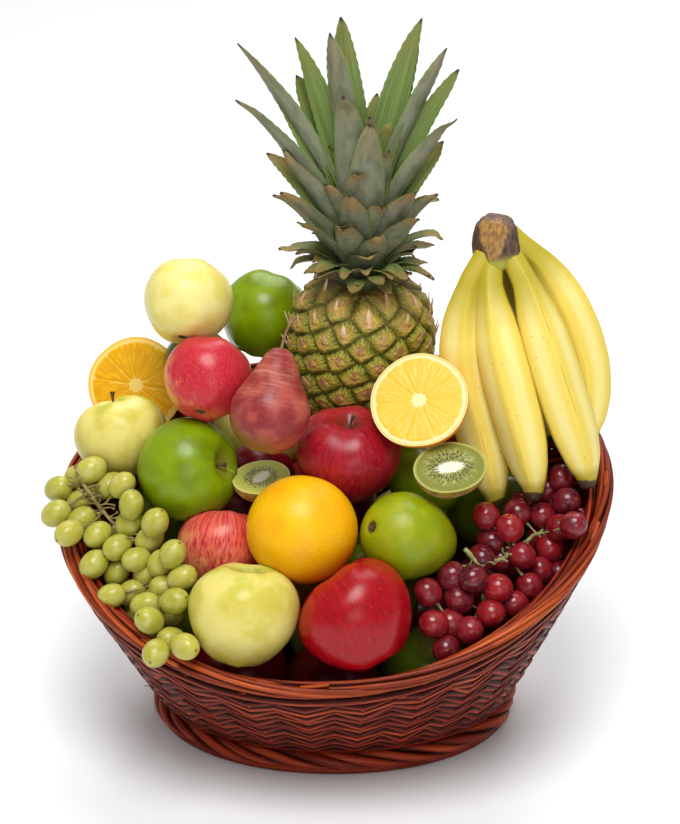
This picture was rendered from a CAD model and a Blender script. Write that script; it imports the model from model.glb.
"""Fruit gift basket: a dark wicker basket with a low front, heaped with whole and halved fruit.

Lengths are metres and +Z is up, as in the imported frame. Places in the tables are millimetres from
the middle of the basket's foot, like those of the solids that the pieces stand for.
"""

from __future__ import annotations

import logging
import math
import random
from dataclasses import dataclass, field, replace
from enum import Enum
from functools import cache
from inspect import signature
from typing import Callable, Iterable, Sequence

import bpy
import numpy as np
from mathutils import Matrix, Vector
from mathutils.bvhtree import BVHTree


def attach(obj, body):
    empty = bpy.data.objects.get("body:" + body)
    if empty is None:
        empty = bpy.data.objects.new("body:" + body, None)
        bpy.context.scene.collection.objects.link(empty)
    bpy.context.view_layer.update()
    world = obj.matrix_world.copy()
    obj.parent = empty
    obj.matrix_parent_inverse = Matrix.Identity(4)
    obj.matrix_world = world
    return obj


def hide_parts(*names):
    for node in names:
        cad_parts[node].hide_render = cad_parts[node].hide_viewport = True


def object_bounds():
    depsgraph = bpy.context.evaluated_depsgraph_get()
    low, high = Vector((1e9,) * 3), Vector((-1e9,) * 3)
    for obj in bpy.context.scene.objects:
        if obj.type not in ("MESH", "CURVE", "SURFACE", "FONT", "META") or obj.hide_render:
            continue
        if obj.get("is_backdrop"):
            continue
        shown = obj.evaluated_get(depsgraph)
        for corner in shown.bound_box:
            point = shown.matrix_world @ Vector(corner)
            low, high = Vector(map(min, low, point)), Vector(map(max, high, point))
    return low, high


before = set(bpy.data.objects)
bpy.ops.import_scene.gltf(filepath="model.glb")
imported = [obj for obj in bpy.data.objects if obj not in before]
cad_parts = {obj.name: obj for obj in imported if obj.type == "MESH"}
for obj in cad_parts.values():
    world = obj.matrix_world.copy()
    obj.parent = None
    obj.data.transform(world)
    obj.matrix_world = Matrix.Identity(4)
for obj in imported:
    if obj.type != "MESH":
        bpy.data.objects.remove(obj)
CAD_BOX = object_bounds()

LOG = logging.getLogger("fruit_gift_basket")
MM = 0.001
UP = Vector((0.0, 0.0, 1.0))
SIDE_SHIFT = 0.004
BODY = "root"

Colour = tuple[float, float, float]
Triple = tuple[float, float, float]
Rows = np.ndarray


class Form(Enum):
    """The kinds of whole fruit, by the way they are shaped."""

    APPLE = "apple"
    ORANGE = "orange"
    PEAR = "pear"


class Flesh(Enum):
    """The kinds of cut fruit, by what their cut face shows."""

    CITRUS = "citrus"
    KIWI = "kiwi"


def place(point: Sequence[float]) -> Vector:
    """Turn a place from the tables into the frame's metres.

    Args:
        point: x, y and z in millimetres from the middle of the basket's foot.

    Returns:
        The same place in the frame.
    """
    return Vector((point[0] * MM + SIDE_SHIFT, point[1] * MM, point[2] * MM))


def only(obj: bpy.types.Object) -> bpy.types.Object:
    """Make one object the only selected one, and the active one.

    Args:
        obj: the object to work on.

    Returns:
        The same object.
    """
    bpy.ops.object.select_all(action="DESELECT")
    obj.select_set(True)
    bpy.context.view_layer.objects.active = obj
    return obj


def ball(name: str, segments: int, rings: int) -> bpy.types.Object:
    """Add a unit ball to be shaped further.

    Args:
        name: the new object's name.
        segments: faces around.
        rings: faces from pole to pole.

    Returns:
        The ball, at the origin.
    """
    bpy.ops.object.select_all(action="DESELECT")
    bpy.ops.mesh.primitive_uv_sphere_add(segments=segments, ring_count=rings, radius=1.0)
    obj = bpy.context.active_object
    obj.name = name
    return obj


def points_of(obj: bpy.types.Object) -> Rows:
    """Return the places of an object's vertices, one row each."""
    flat = np.empty(len(obj.data.vertices) * 3, dtype=np.float64)
    obj.data.vertices.foreach_get("co", flat)
    return flat.reshape(-1, 3)


def move_points(obj: bpy.types.Object, points: Rows) -> None:
    """Put an object's vertices at new places.

    Args:
        obj: the object.
        points: one row for each vertex.
    """
    obj.data.vertices.foreach_set("co", points.astype(np.float32).ravel())
    obj.data.update()


def note(obj: bpy.types.Object, name: str, values: Rows) -> None:
    """Store a value or a vector on every vertex, for a finish to read.

    Args:
        obj: the object.
        name: the attribute's name.
        values: one number or one row of three for each vertex.
    """
    kind = "FLOAT_VECTOR" if values.ndim == 2 else "FLOAT"
    layer = obj.data.attributes.new(name, kind, "POINT")
    field_name = "vector" if values.ndim == 2 else "value"
    layer.data.foreach_set(field_name, values.astype(np.float32).ravel())


def shade(obj: bpy.types.Object, degrees: float = 50.0) -> None:
    """Shade an object smooth, apart from edges sharper than an angle."""
    only(obj)
    bpy.ops.object.shade_smooth_by_angle(angle=math.radians(degrees))


def face_outward(obj: bpy.types.Object) -> None:
    """Turn an object's faces so that all of them face outward."""
    only(obj)
    bpy.ops.object.mode_set(mode="EDIT")
    bpy.ops.mesh.select_all(action="SELECT")
    bpy.ops.mesh.normals_make_consistent(inside=False)
    bpy.ops.object.mode_set(mode="OBJECT")


def ball_angles(points: Rows) -> tuple[Rows, Rows]:
    """Return each point's angle from a ball's upper pole, and its angle round the ball."""
    return np.arccos(np.clip(points[:, 2], -1, 1)), np.arctan2(points[:, 1], points[:, 0])


def distances(route: Rows) -> Rows:
    """Return how far along a route each of its points lies."""
    steps = np.linalg.norm(np.diff(route, axis=0), axis=1)
    return np.concatenate([[0.0], np.cumsum(steps)])


def mesh_piece(name: str, points: Rows, faces: Sequence[Sequence[int]]) -> bpy.types.Object:
    """Make an object from points and faces.

    Args:
        name: the object's name.
        points: one row for each vertex.
        faces: the vertices of each face.

    Returns:
        The new object, at the origin.
    """
    mesh = bpy.data.meshes.new(name)
    mesh.from_pydata(points.tolist(), [], faces)
    obj = bpy.data.objects.new(name, mesh)
    bpy.context.scene.collection.objects.link(obj)
    return obj


def hand_over(
    obj: bpy.types.Object,
    finishes: Sequence[bpy.types.Material],
    slot: str,
    nodes: Sequence[str] = (),
) -> None:
    """Give a piece its finishes, its body and the nodes that it stands for.

    Args:
        obj: the finished piece.
        finishes: one material for each of its slots.
        slot: the record's material slot.
        nodes: the solids that it replaces.
    """
    kept = [polygon.material_index for polygon in obj.data.polygons] if len(finishes) > 1 else []
    obj.data.materials.clear()
    for finish in finishes:
        obj.data.materials.append(finish)
    if kept:
        obj.data.polygons.foreach_set("material_index", kept)
    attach(obj, BODY)
    if nodes:
        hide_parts(*nodes)
    LOG.info("%s: %d faces", obj.name, len(obj.data.polygons))


def smooth_route(knots: Rows, count: int) -> Rows:
    """Run a smooth line through knots.

    Args:
        knots: one row for each knot, with any number of columns.
        count: how many points to return.

    Returns:
        Points along the line, with the same columns.
    """
    padded = np.vstack([2 * knots[0] - knots[1], knots, 2 * knots[-1] - knots[-2]])
    way = np.linspace(0.0, len(knots) - 1.0, count)
    low = np.minimum(way.astype(int), len(knots) - 2)
    t = (way - low)[:, None]
    a, b, c, d = (padded[low + k] for k in range(4))
    return 0.5 * (2 * b + (c - a) * t + (2 * a - 5 * b + 4 * c - d) * t**2 + (3 * b - a - 3 * c + d) * t**3)


def unit(rows: Rows) -> Rows:
    """Return each row as a direction of length one."""
    return rows / np.maximum(np.linalg.norm(rows, axis=-1, keepdims=True), 1e-12)


def ease(values: Rows, low: float, high: float) -> Rows:
    """Rise smoothly from 0 at low to 1 at high."""
    share = np.clip((values - low) / (high - low), 0.0, 1.0)
    return share * share * (3.0 - 2.0 * share)


@dataclass
class Rod:
    """One rod, stalk or finger: a route with a section that may change along it."""

    route: Rows
    wide: Rows | float
    high: Rows | float
    tone: float = 0.5
    outer: Rows | float = 1.0
    hint: Rows | None = None
    closed: bool = False
    gaps: float = 0.0
    heart: Rows | None = None

    def axes(self) -> tuple[Rows, Rows]:
        """Return the section's two directions at each station."""
        if self.closed:
            run = np.roll(self.route, -1, axis=0) - np.roll(self.route, 1, axis=0)
        else:
            run = np.gradient(self.route, axis=0)
        run = unit(run)
        if self.hint is not None:
            side = unit(np.cross(run, np.broadcast_to(self.hint, run.shape)))
            return side, np.cross(side, run)
        side = np.empty_like(run)
        first = np.cross(run[0], (0.0, 0.0, 1.0))
        if np.linalg.norm(first) < 0.1:
            first = np.cross(run[0], (0.0, 1.0, 0.0))
        side[0] = unit(first)
        for k in range(1, len(run)):
            side[k] = side[k - 1] - run[k] * float(side[k - 1] @ run[k])
            side[k] /= np.linalg.norm(side[k])
        return side, np.cross(side, run)


def rods_piece(
    name: str,
    rods: Sequence[Rod],
    sides: int,
    section: Callable[[Rows, Rows], Rows] | None = None,
) -> bpy.types.Object:
    """Make one object from many rods.

    Each vertex keeps its place on its rod: the share along, the share around and the rod's tone.

    Args:
        name: the object's name.
        rods: the rods.
        sides: how many sides each has.
        section: scales the section, from the angles around and the shares along.

    Returns:
        The new object.
    """
    points: list[Rows] = []
    strands: list[Rows] = []
    outers: list[Rows] = []
    faces: list[tuple[int, ...]] = []
    around = np.linspace(0.0, 2 * math.pi, sides, endpoint=False)
    start = 0
    for rod in rods:
        count = len(rod.route)
        side, rise = rod.axes()
        length = distances(rod.route)
        scale = np.ones((count, sides))
        if section is not None:
            scale = section(around, length / length[-1])
        sizes = (rod.wide, rod.high, rod.outer)
        wide, high, outer = (np.broadcast_to(size, count)[:, None] for size in sizes)
        across = (np.cos(around) * scale) * wide
        upward = (np.sin(around) * scale) * high
        body = rod.route[:, None] + side[:, None] * across[..., None] + rise[:, None] * upward[..., None]
        points.append(body.reshape(-1, 3))
        strand = np.empty((count, sides, 3))
        strand[..., 0] = length[:, None]
        strand[..., 1] = around / (2 * math.pi)
        strand[..., 2] = rod.tone
        strands.append(strand.reshape(-1, 3))
        shaded = np.maximum(ease(-np.sin(around), 0.35, 0.85), ease(np.sin(around), 0.10, 0.60))
        open_side = np.broadcast_to(1 - rod.gaps * shaded, (count, sides))
        if rod.heart is not None:
            away = unit(rod.route - rod.heart)[:, None]
            faced = np.sum(unit(body - rod.route[:, None]) * away, axis=2)
            open_side = 0.08 + 0.92 * ease(faced, 0.0, 0.85)
        outers.append((outer * open_side).ravel())
        rings = count if rod.closed else count - 1
        for k in range(rings):
            one = start + k * sides
            two = start + ((k + 1) % count) * sides
            for j in range(sides):
                nxt = (j + 1) % sides
                faces.append((one + j, one + nxt, two + nxt, two + j))
        if not rod.closed:
            faces.append(tuple(range(start + sides - 1, start - 1, -1)))
            faces.append(tuple(range(start + (count - 1) * sides, start + count * sides)))
        start += count * sides
    obj = mesh_piece(name, np.vstack(points), faces)
    note(obj, "strand", np.vstack(strands))
    note(obj, "outer", np.concatenate(outers))
    face_outward(obj)
    return obj


def finished_rods(
    name: str,
    rods: Sequence[Rod],
    sides: int,
    finish: Finish,
    slot: str,
    nodes: Sequence[str] = (),
    degrees: float = 80.0,
) -> None:
    """Make one piece from many rods, shade it and hand it over.

    Args:
        name: the piece's name.
        rods: the rods.
        sides: how many sides each has.
        finish: what they are made of.
        slot: the record's material slot.
        nodes: the solids that the piece replaces.
        degrees: the angle from which an edge stays sharp.
    """
    obj = rods_piece(name, rods, sides)
    shade(obj, degrees)
    hand_over(obj, [finish.build()], slot, nodes)


def copies_piece(
    name: str,
    model: bpy.types.Object,
    turns: Sequence[Matrix],
    tones: Sequence[float],
) -> bpy.types.Object:
    """Make one object from copies of a model, and remove the model.

    Args:
        name: the object's name.
        model: the thing that repeats, at the origin.
        turns: where each copy goes.
        tones: a number for each copy, which its finish reads.

    Returns:
        The new object.
    """
    own = points_of(model)
    polygons = [tuple(polygon.vertices) for polygon in model.data.polygons]
    kinds = [polygon.material_index for polygon in model.data.polygons]
    points = []
    faces = []
    for number, turn in enumerate(turns):
        grid = np.array(turn)
        points.append(own @ grid[:3, :3].T + grid[:3, 3])
        offset = number * len(own)
        faces.extend(tuple(index + offset for index in polygon) for polygon in polygons)
    bpy.data.objects.remove(model, do_unlink=True)
    obj = mesh_piece(name, np.vstack(points), faces)
    obj.data.polygons.foreach_set("material_index", kinds * len(turns))
    note(obj, "own", np.tile(own, (len(turns), 1)))
    note(obj, "tone", np.repeat(np.array(tones), len(own)))
    return obj


class Value:
    """One number, colour or vector in a node tree, with the sums and patterns that finishes use."""

    def __init__(self, kit: Kit, socket: bpy.types.NodeSocket) -> None:
        self.kit = kit
        self.socket = socket

    def calc(self, operation: str, other: object = 0.0) -> Value:
        """Return the result of a sum with another number."""
        return self.kit.node("ShaderNodeMath", {0: self, 1: other}, operation=operation)

    def __add__(self, other: object) -> Value:
        """Return the two added."""
        return self.calc("ADD", other)

    def __sub__(self, other: object) -> Value:
        """Return the other taken away."""
        return self.calc("SUBTRACT", other)

    def __mul__(self, other: object) -> Value:
        """Return the two multiplied."""
        return self.calc("MULTIPLY", other)

    def __truediv__(self, other: object) -> Value:
        """Return this divided by the other."""
        return self.calc("DIVIDE", other)

    def vector(self, operation: str, other: object, out: str = "Vector") -> Value:
        """Return the result of a sum with another vector."""
        return self.kit.node("ShaderNodeVectorMath", {0: self, 1: other}, out, operation=operation)

    def dot(self, way: object) -> Value:
        """Return how far this vector points along another."""
        return self.vector("DOT_PRODUCT", way, "Value")

    def stretch(self, sizes: Triple) -> Value:
        """Return this vector with each part multiplied."""
        return self.vector("MULTIPLY", sizes)

    def parts(self) -> list[Value]:
        """Return this vector's three parts."""
        first = self.kit.node("ShaderNodeSeparateXYZ", {0: self})
        return [Value(self.kit, socket) for socket in first.socket.node.outputs]

    def noise(self, scale: object, detail: float = 2.0) -> Value:
        """Return a soft random pattern."""
        return self.kit.node("ShaderNodeTexNoise", {"Vector": self, "Scale": scale, "Detail": detail})

    def cells(self, scale: object, feature: str = "F1") -> Value:
        """Return the distance to the nearest of many scattered points."""
        given = {"Vector": self, "Scale": scale}
        return self.kit.node("ShaderNodeTexVoronoi", given, "Distance", feature=feature)

    def level(self, low: object, high: object) -> Value:
        """Rise smoothly from 0 at low to 1 at high."""
        given = {"Value": self, "From Min": low, "From Max": high}
        return self.kit.node("ShaderNodeMapRange", given, interpolation_type="SMOOTHSTEP")

    def range(self, low: float, high: float) -> Value:
        """Spread a mask over a range of numbers."""
        return self.kit.node("ShaderNodeMapRange", {"Value": self, "To Min": low, "To Max": high})

    def mix(self, low: object, high: object) -> Value:
        """Return the low colour, or the high one where this mask is 1."""
        return self.kit.mix(self, low, high)

    def ramp(self, *stops: tuple[float, Colour]) -> Value:
        """Return a colour that follows this number through stops.

        Args:
            stops: the place and the colour of each stop.

        Returns:
            The colour.
        """
        result = self.kit.node("ShaderNodeValToRGB", {0: self})
        elements = result.socket.node.color_ramp.elements
        while len(elements) < len(stops):
            elements.new(0.5)
        for element, (where, colour) in zip(elements, stops):
            element.position = where
            element.color = (*colour, 1.0)
        return result

    def effect(self, formula: Callable[..., Value], *numbers: float) -> Value:
        """Apply a shared effect to this vector, with the effect's own numbers."""
        given = dict(enumerate((self, *numbers)))
        return self.kit.node("ShaderNodeGroup", given, node_tree=group_of(formula))


class Kit:
    """Adds nodes to one node tree."""

    def __init__(self, tree: bpy.types.NodeTree) -> None:
        """Work in one node tree."""
        self.tree = tree

    def feed(self, socket: bpy.types.NodeSocket, value: object) -> None:
        """Link a socket to the value, or set it where the value is plain."""
        if isinstance(value, Value):
            self.tree.links.new(value.socket, socket)
        elif isinstance(value, tuple) and socket.type == "RGBA":
            socket.default_value = (*value, 1.0)
        else:
            socket.default_value = value

    def node(self, kind: str, given: dict, out: int | str = 0, **settings: object) -> Value:
        """Add a node.

        Args:
            kind: the type of node.
            given: what goes into its sockets, by their names or numbers.
            out: the socket that gives the result.
            settings: the node's own settings.

        Returns:
            The result.
        """
        node = self.tree.nodes.new(kind)
        for name, value in settings.items():
            setattr(node, name, value)
        for name, value in given.items():
            self.feed(node.inputs[name], value)
        return Value(self, node.outputs[out])

    def attribute(self, name: str, output: str = "Vector") -> Value:
        """Read an attribute of the mesh."""
        return self.node("ShaderNodeAttribute", {}, output, attribute_name=name)

    def where(self) -> Value:
        """Return the place on the object."""
        return self.node("ShaderNodeTexCoord", {}, "Object")

    def join(self, x: object, y: object, z: object) -> Value:
        """Return a vector from its three parts."""
        return self.node("ShaderNodeCombineXYZ", {0: x, 1: y, 2: z})

    def mix(self, mask: object, low: object, high: object) -> Value:
        """Return the low colour, or the high one where the mask is 1."""
        return self.node("ShaderNodeMix", {0: mask, 6: low, 7: high}, 2, data_type="RGBA")


class Recipe(Kit):
    """One material in the making."""

    def __init__(self, name: str) -> None:
        """Start a material with its shader."""
        self.material = bpy.data.materials.new(name)
        self.material.use_nodes = True
        super().__init__(self.material.node_tree)
        self.shader = self.tree.nodes["Principled BSDF"]

    def surface(self, colour: object, roughness: object, **constants: object) -> None:
        """Set the shader's colour, roughness and plain values.

        Args:
            colour: what feeds the base colour.
            roughness: what feeds the roughness.
            constants: plain values, by the shader's own socket names in lower case.
        """
        self.feed(self.shader.inputs["Base Color"], colour)
        self.feed(self.shader.inputs["Roughness"], roughness)
        for name, value in constants.items():
            self.feed(self.shader.inputs[name.replace("_", " ").title().replace("Ior", "IOR")], value)

    def bump(self, height: object, depth: float, strength: float = 1.0) -> None:
        """Raise the surface by a height pattern.

        Args:
            height: the pattern, from 0 to 1.
            depth: how high 1 stands, in metres.
            strength: how much of it shows.
        """
        given = {"Height": height, "Distance": depth, "Strength": strength}
        self.feed(self.shader.inputs["Normal"], self.node("ShaderNodeBump", given))

    def through(self, weight: float, radius: Triple, scale: float) -> None:
        """Let light into the surface, as into flesh."""
        self.shader.inputs["Subsurface Weight"].default_value = weight
        self.shader.inputs["Subsurface Radius"].default_value = radius
        self.shader.inputs["Subsurface Scale"].default_value = scale


def mottle(vector: Value, scale: Value, low: Value, high: Value) -> Value:
    """Return soft patches that drift from one colour to another."""
    return vector.noise(scale, 3.0).level(low, high)


def freckles(vector: Value, scale: Value, size: Value, soft: Value) -> Value:
    """Return scattered small dots."""
    return vector.cells(scale).level(size + soft, size)


def rays(vector: Value, scale: Value, along: Value, low: Value, high: Value) -> Value:
    """Return streaks that run from pole to pole, or from the middle of a face to its edge.

    Args:
        vector: the place on the thing.
        scale: how many streaks there are.
        along: how much they change along their way.
        low: where the pattern starts to count.
        high: where it counts fully.

    Returns:
        The mask.
    """
    x, y, z = vector.parts()
    reach = (x * x + y * y).calc("SQRT") + 0.0001
    way = vector.kit.join(x / reach, y / reach, (z + reach) * along)
    return way.noise(scale, 4.0).level(low, high)


def grain(vector: Value, scale: Value, low: Value, high: Value) -> Value:
    """Return fine fibres along a rod or a finger.

    Args:
        vector: the share along, the share around and the rod's tone.
        scale: how fine they are.
        low: where the pattern starts to count.
        high: where it counts fully.

    Returns:
        The mask.
    """
    along, around, tone = vector.parts()
    turn = around * (2 * math.pi)
    way = vector.kit.join(turn.calc("COSINE") * 2.4, turn.calc("SINE") * 2.4, along * 26.0 + tone * 57.0)
    return way.noise(scale, 4.0).level(low, high)


@cache
def group_of(formula: Callable[..., Value]) -> bpy.types.NodeTree:
    """Return the node group of an effect, built at its first use.

    Args:
        formula: takes the group's inputs, a vector and then numbers, and returns its mask.

    Returns:
        The node group.
    """
    tree = bpy.data.node_groups.new(formula.__name__, "ShaderNodeTree")
    for name in signature(formula).parameters:
        kind = "NodeSocketVector" if name == "vector" else "NodeSocketFloat"
        tree.interface.new_socket(name.title(), in_out="INPUT", socket_type=kind)
    tree.interface.new_socket("Mask", in_out="OUTPUT", socket_type="NodeSocketFloat")
    kit = Kit(tree)
    given = tree.nodes.new("NodeGroupInput").outputs[:-1]
    mask = formula(*(Value(kit, socket) for socket in given))
    kit.feed(tree.nodes.new("NodeGroupOutput").inputs[0], mask)
    return tree


@dataclass(frozen=True)
class Finish:
    """A finish, which fills a recipe in its own way."""

    name: str

    def build(self) -> bpy.types.Material:
        """Return the material."""
        recipe = Recipe(self.name)
        self.paint(recipe)
        return recipe.material

    def paint(self, recipe: Recipe) -> None:
        """Fill the recipe."""
        raise NotImplementedError


@dataclass(frozen=True)
class Wicker(Finish):
    """Stained and varnished willow rods."""

    name: str = "stained_wicker"
    deep: Colour = (0.014, 0.0014, 0.0008)
    middle: Colour = (0.31, 0.024, 0.008)
    bright: Colour = (0.80, 0.130, 0.024)
    lift: float = 0.0
    roughness: float = 0.34

    def paint(self, recipe: Recipe) -> None:
        """Fill the recipe."""
        strand = recipe.attribute("strand")
        outer = recipe.attribute("outer", "Fac")
        fibres = strand.effect(grain, 1.6, 0.32, 0.70)
        patches = strand.effect(grain, 0.35, 0.35, 0.65)
        blend = fibres * 0.28 + patches * 0.28 + strand.parts()[2] * 0.42 + self.lift
        colour = blend.ramp((0.0, self.deep), (0.45, self.middle), (0.95, self.bright))
        recipe.surface(outer.mix(self.deep, colour), fibres.range(self.roughness + 0.12, self.roughness),
                       coat_weight=outer.range(0.0, 0.20), coat_roughness=0.16, specular_ior_level=0.07)
        recipe.bump(fibres, 0.0004, 0.6)


@dataclass(frozen=True)
class AppleSkin(Finish):
    """An apple's skin: a ground that drifts in colour, a blush on one side, streaks and specks."""

    ground: Colour
    drift: Colour
    blush: Colour
    blush_way: Triple = (0.0, 0.0, 1.0)
    blush_low: float = 2.0
    blush_high: float = 3.0
    streaks: float = 0.5
    specks: Colour = (0.85, 0.80, 0.55)
    speck_share: float = 0.35
    hollow: Colour = (0.24, 0.27, 0.05)
    deep: Colour | None = None
    roughness: float = 0.27
    fine: float = 22.0
    under: Colour | None = None
    under_way: Triple = (0.0, -0.35, -0.94)
    eye: Colour = (0.10, 0.06, 0.03)

    def paint(self, recipe: Recipe) -> None:
        """Fill the recipe."""
        own = recipe.attribute("own")
        out = recipe.attribute("out")
        streaks = own.effect(rays, 9.0, 0.35, 0.36, 0.66)
        patches = own.effect(mottle, 1.7, 0.38, 0.64)
        facing = out.dot(self.blush_way) + (streaks - 0.5) * self.streaks + (patches - 0.5) * 0.35
        blush = self.blush
        if self.deep is not None:
            blush = own.effect(rays, self.fine, 0.2, 0.42, 0.62).mix(self.blush, self.deep)
        ground = patches.mix(self.ground, self.drift)
        colour = facing.level(self.blush_low, self.blush_high).mix(ground, blush)
        if self.under is not None:
            colour = (out.dot(self.under_way).level(0.15, 0.90) * 0.85).mix(colour, self.under)
        dots = own.effect(freckles, 13.0, 0.05, 0.07)
        colour = (dots * self.speck_share).mix(colour, self.specks)
        x, y, z = own.parts()
        reach = x * x + y * y
        pit = (reach + (streaks - 0.5) * 0.06).level(0.11, 0.02) * z.level(0.0, 0.1)
        colour = (pit * 0.85).mix(colour, self.hollow)
        colour = (reach.level(0.020, 0.006) * z.level(0.0, -0.1)).mix(colour, self.eye)
        recipe.surface(colour, patches.range(self.roughness, self.roughness + 0.07),
                       coat_weight=0.50, coat_roughness=0.28, specular_ior_level=0.08)
        recipe.bump(own.noise(26.0, 3.0), 0.0004, 0.18)
        recipe.through(0.10, (1.0, 0.5, 0.2), 0.003)


@dataclass(frozen=True)
class Peel(Finish):
    """Orange peel: oil pits all over, and patches of a deeper orange."""

    name: str = "orange_peel_finish"
    ground: Colour = (0.93, 0.50, 0.002)
    drift: Colour = (0.90, 0.40, 0.001)
    warm: Colour = (0.84, 0.19, 0.001)
    warm_way: Triple = (0.45, -0.15, -0.85)

    def paint(self, recipe: Recipe) -> None:
        """Fill the recipe."""
        own = recipe.attribute("own")
        patches = own.effect(mottle, 1.4, 0.35, 0.68)
        warm = recipe.attribute("out").dot(self.warm_way).level(0.25, 1.0)
        colour = warm.mix(patches.mix(self.ground, self.drift), self.warm)
        pits = own.cells(26.0, "SMOOTH_F1")
        colour = (pits.level(0.34, 0.10) * 0.16).mix(colour, self.warm)
        recipe.surface(colour, patches.range(0.36, 0.44), coat_weight=0.22, coat_roughness=0.30,
                       specular_ior_level=0.18)
        recipe.bump(pits.level(0.0, 0.5) + own.noise(40.0) * 0.5, 0.00045, 0.42)
        recipe.through(0.12, (1.0, 0.4, 0.1), 0.003)


@dataclass(frozen=True)
class PearSkin(Finish):
    """A pear's skin: fine freckles over a ground that drifts in colour."""

    ground: Colour
    drift: Colour
    low: Colour
    low_way: Triple
    freckle: Colour
    freckle_share: float
    roughness: float = 0.42
    rings: float = 0.0
    eye: Colour = (0.09, 0.055, 0.02)

    def paint(self, recipe: Recipe) -> None:
        """Fill the recipe."""
        own = recipe.attribute("own")
        patches = own.effect(mottle, 1.8, 0.36, 0.66)
        side = recipe.attribute("out").dot(self.low_way) + (patches - 0.5) * 0.4
        colour = side.level(0.35, 1.0).mix(patches.mix(self.ground, self.drift), self.low)
        dots = own.effect(freckles, 20.0, 0.10, 0.12)
        colour = (dots * self.freckle_share).mix(colour, self.freckle)
        x, y, z = own.parts()
        bands = own.stretch((1.2, 1.2, 16.0)).noise(1.0, 4.0).level(0.45, 0.75) * z.level(-0.1, 0.7)
        colour = (bands * self.rings).mix(colour, self.freckle)
        colour = ((x * x + y * y).level(0.030, 0.012) * z.level(0.0, -0.1)).mix(colour, self.eye)
        recipe.surface(colour, patches.range(self.roughness, self.roughness + 0.08), specular_ior_level=0.35)
        recipe.bump(own.noise(14.0, 4.0), 0.0006, 0.35)
        recipe.through(0.10, (1.0, 0.5, 0.2), 0.003)


@dataclass(frozen=True)
class KiwiSkin(Finish):
    """A kiwi fruit's brown skin, with a short nap."""

    name: str = "kiwi_skin_finish"
    dark: Colour = (0.17, 0.090, 0.008)
    light: Colour = (0.40, 0.24, 0.025)

    def paint(self, recipe: Recipe) -> None:
        """Fill the recipe."""
        own = recipe.attribute("own")
        nap = own.stretch((1.0, 1.0, 0.35)).noise(34.0, 4.0)
        blend = nap * 0.7 + own.effect(mottle, 3.0, 0.35, 0.65) * 0.3
        recipe.surface(blend.ramp((0.25, self.dark), (0.75, self.light)), 0.72,
                       sheen_weight=0.10, sheen_roughness=0.5, specular_ior_level=0.2)
        recipe.bump(nap, 0.0006, 0.6)


@dataclass(frozen=True)
class CitrusFace(Finish):
    """A cut orange: juice sacs inside thin walls, white pith and a line of peel."""

    flesh: Colour
    juice: Colour
    pith: Colour
    wall: Colour
    peel: Colour

    def paint(self, recipe: Recipe) -> None:
        """Fill the recipe."""
        polar = recipe.attribute("polar")
        reach = polar.parts()[1]
        sacs = polar.stretch((1.0, 0.30, 1.0)).cells(420.0)
        blobs = polar.stretch((1.0, 0.35, 1.0)).noise(260.0)
        flesh = sacs.level(0.15, 0.75).mix(self.flesh, self.juice)
        flesh = (blobs.level(0.60, 0.80) * 0.6).mix(flesh, self.wall)
        between = reach.level(0.0045, 0.0070) * reach.level(0.0328, 0.0308)
        wet = recipe.attribute("inside", "Fac").level(0.0, 0.5)
        colour = wet.mix(between.mix(self.pith, self.wall), flesh)
        colour = recipe.attribute("edge", "Fac").level(1.9, 0.9).mix(colour, self.peel)
        recipe.surface(colour, wet.range(0.62, 0.34), specular_ior_level=0.20)
        recipe.bump(sacs.level(0.75, 0.1) * wet + reach.noise(900.0) * 0.2, 0.0005, 0.32)
        recipe.through(0.25, (1.0, 0.5, 0.15), 0.004)


@dataclass(frozen=True)
class KiwiFace(Finish):
    """A cut kiwi fruit: a cream core, pale rays through green flesh, and a green rim."""

    name: str = "kiwi_face_finish"
    core: Colour = (0.97, 0.92, 0.68)
    inner: Colour = (0.165, 0.185, 0.024)
    flesh: Colour = (0.21, 0.22, 0.034)
    rim: Colour = (0.42, 0.42, 0.11)
    ray: Colour = (0.48, 0.47, 0.18)

    def paint(self, recipe: Recipe) -> None:
        """Fill the recipe."""
        own = recipe.attribute("own")
        reach = recipe.attribute("inside", "Fac")
        streaks = own.effect(rays, 11.0, 0.35, 0.46, 0.60)
        colour = reach.ramp((0.0, self.inner), (0.35, self.inner), (0.62, self.flesh), (0.90, self.flesh),
                            (0.97, self.rim))
        band = reach.level(0.20, 0.34) * reach.level(0.88, 0.55)
        colour = (streaks * band * 0.75).mix(colour, self.ray)
        x, y, _ = own.parts()
        wide = (x * x * 0.62 + y * y * 2.1).calc("SQRT")
        core = (wide + (streaks - 0.5) * 0.07).level(0.37, 0.22)
        recipe.surface(core.mix(colour, self.core), core.range(0.45, 0.6), specular_ior_level=0.18)
        recipe.bump(streaks + own.noise(18.0, 3.0), 0.0004, 0.5)
        recipe.through(0.25, (0.6, 1.0, 0.2), 0.003)


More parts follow.
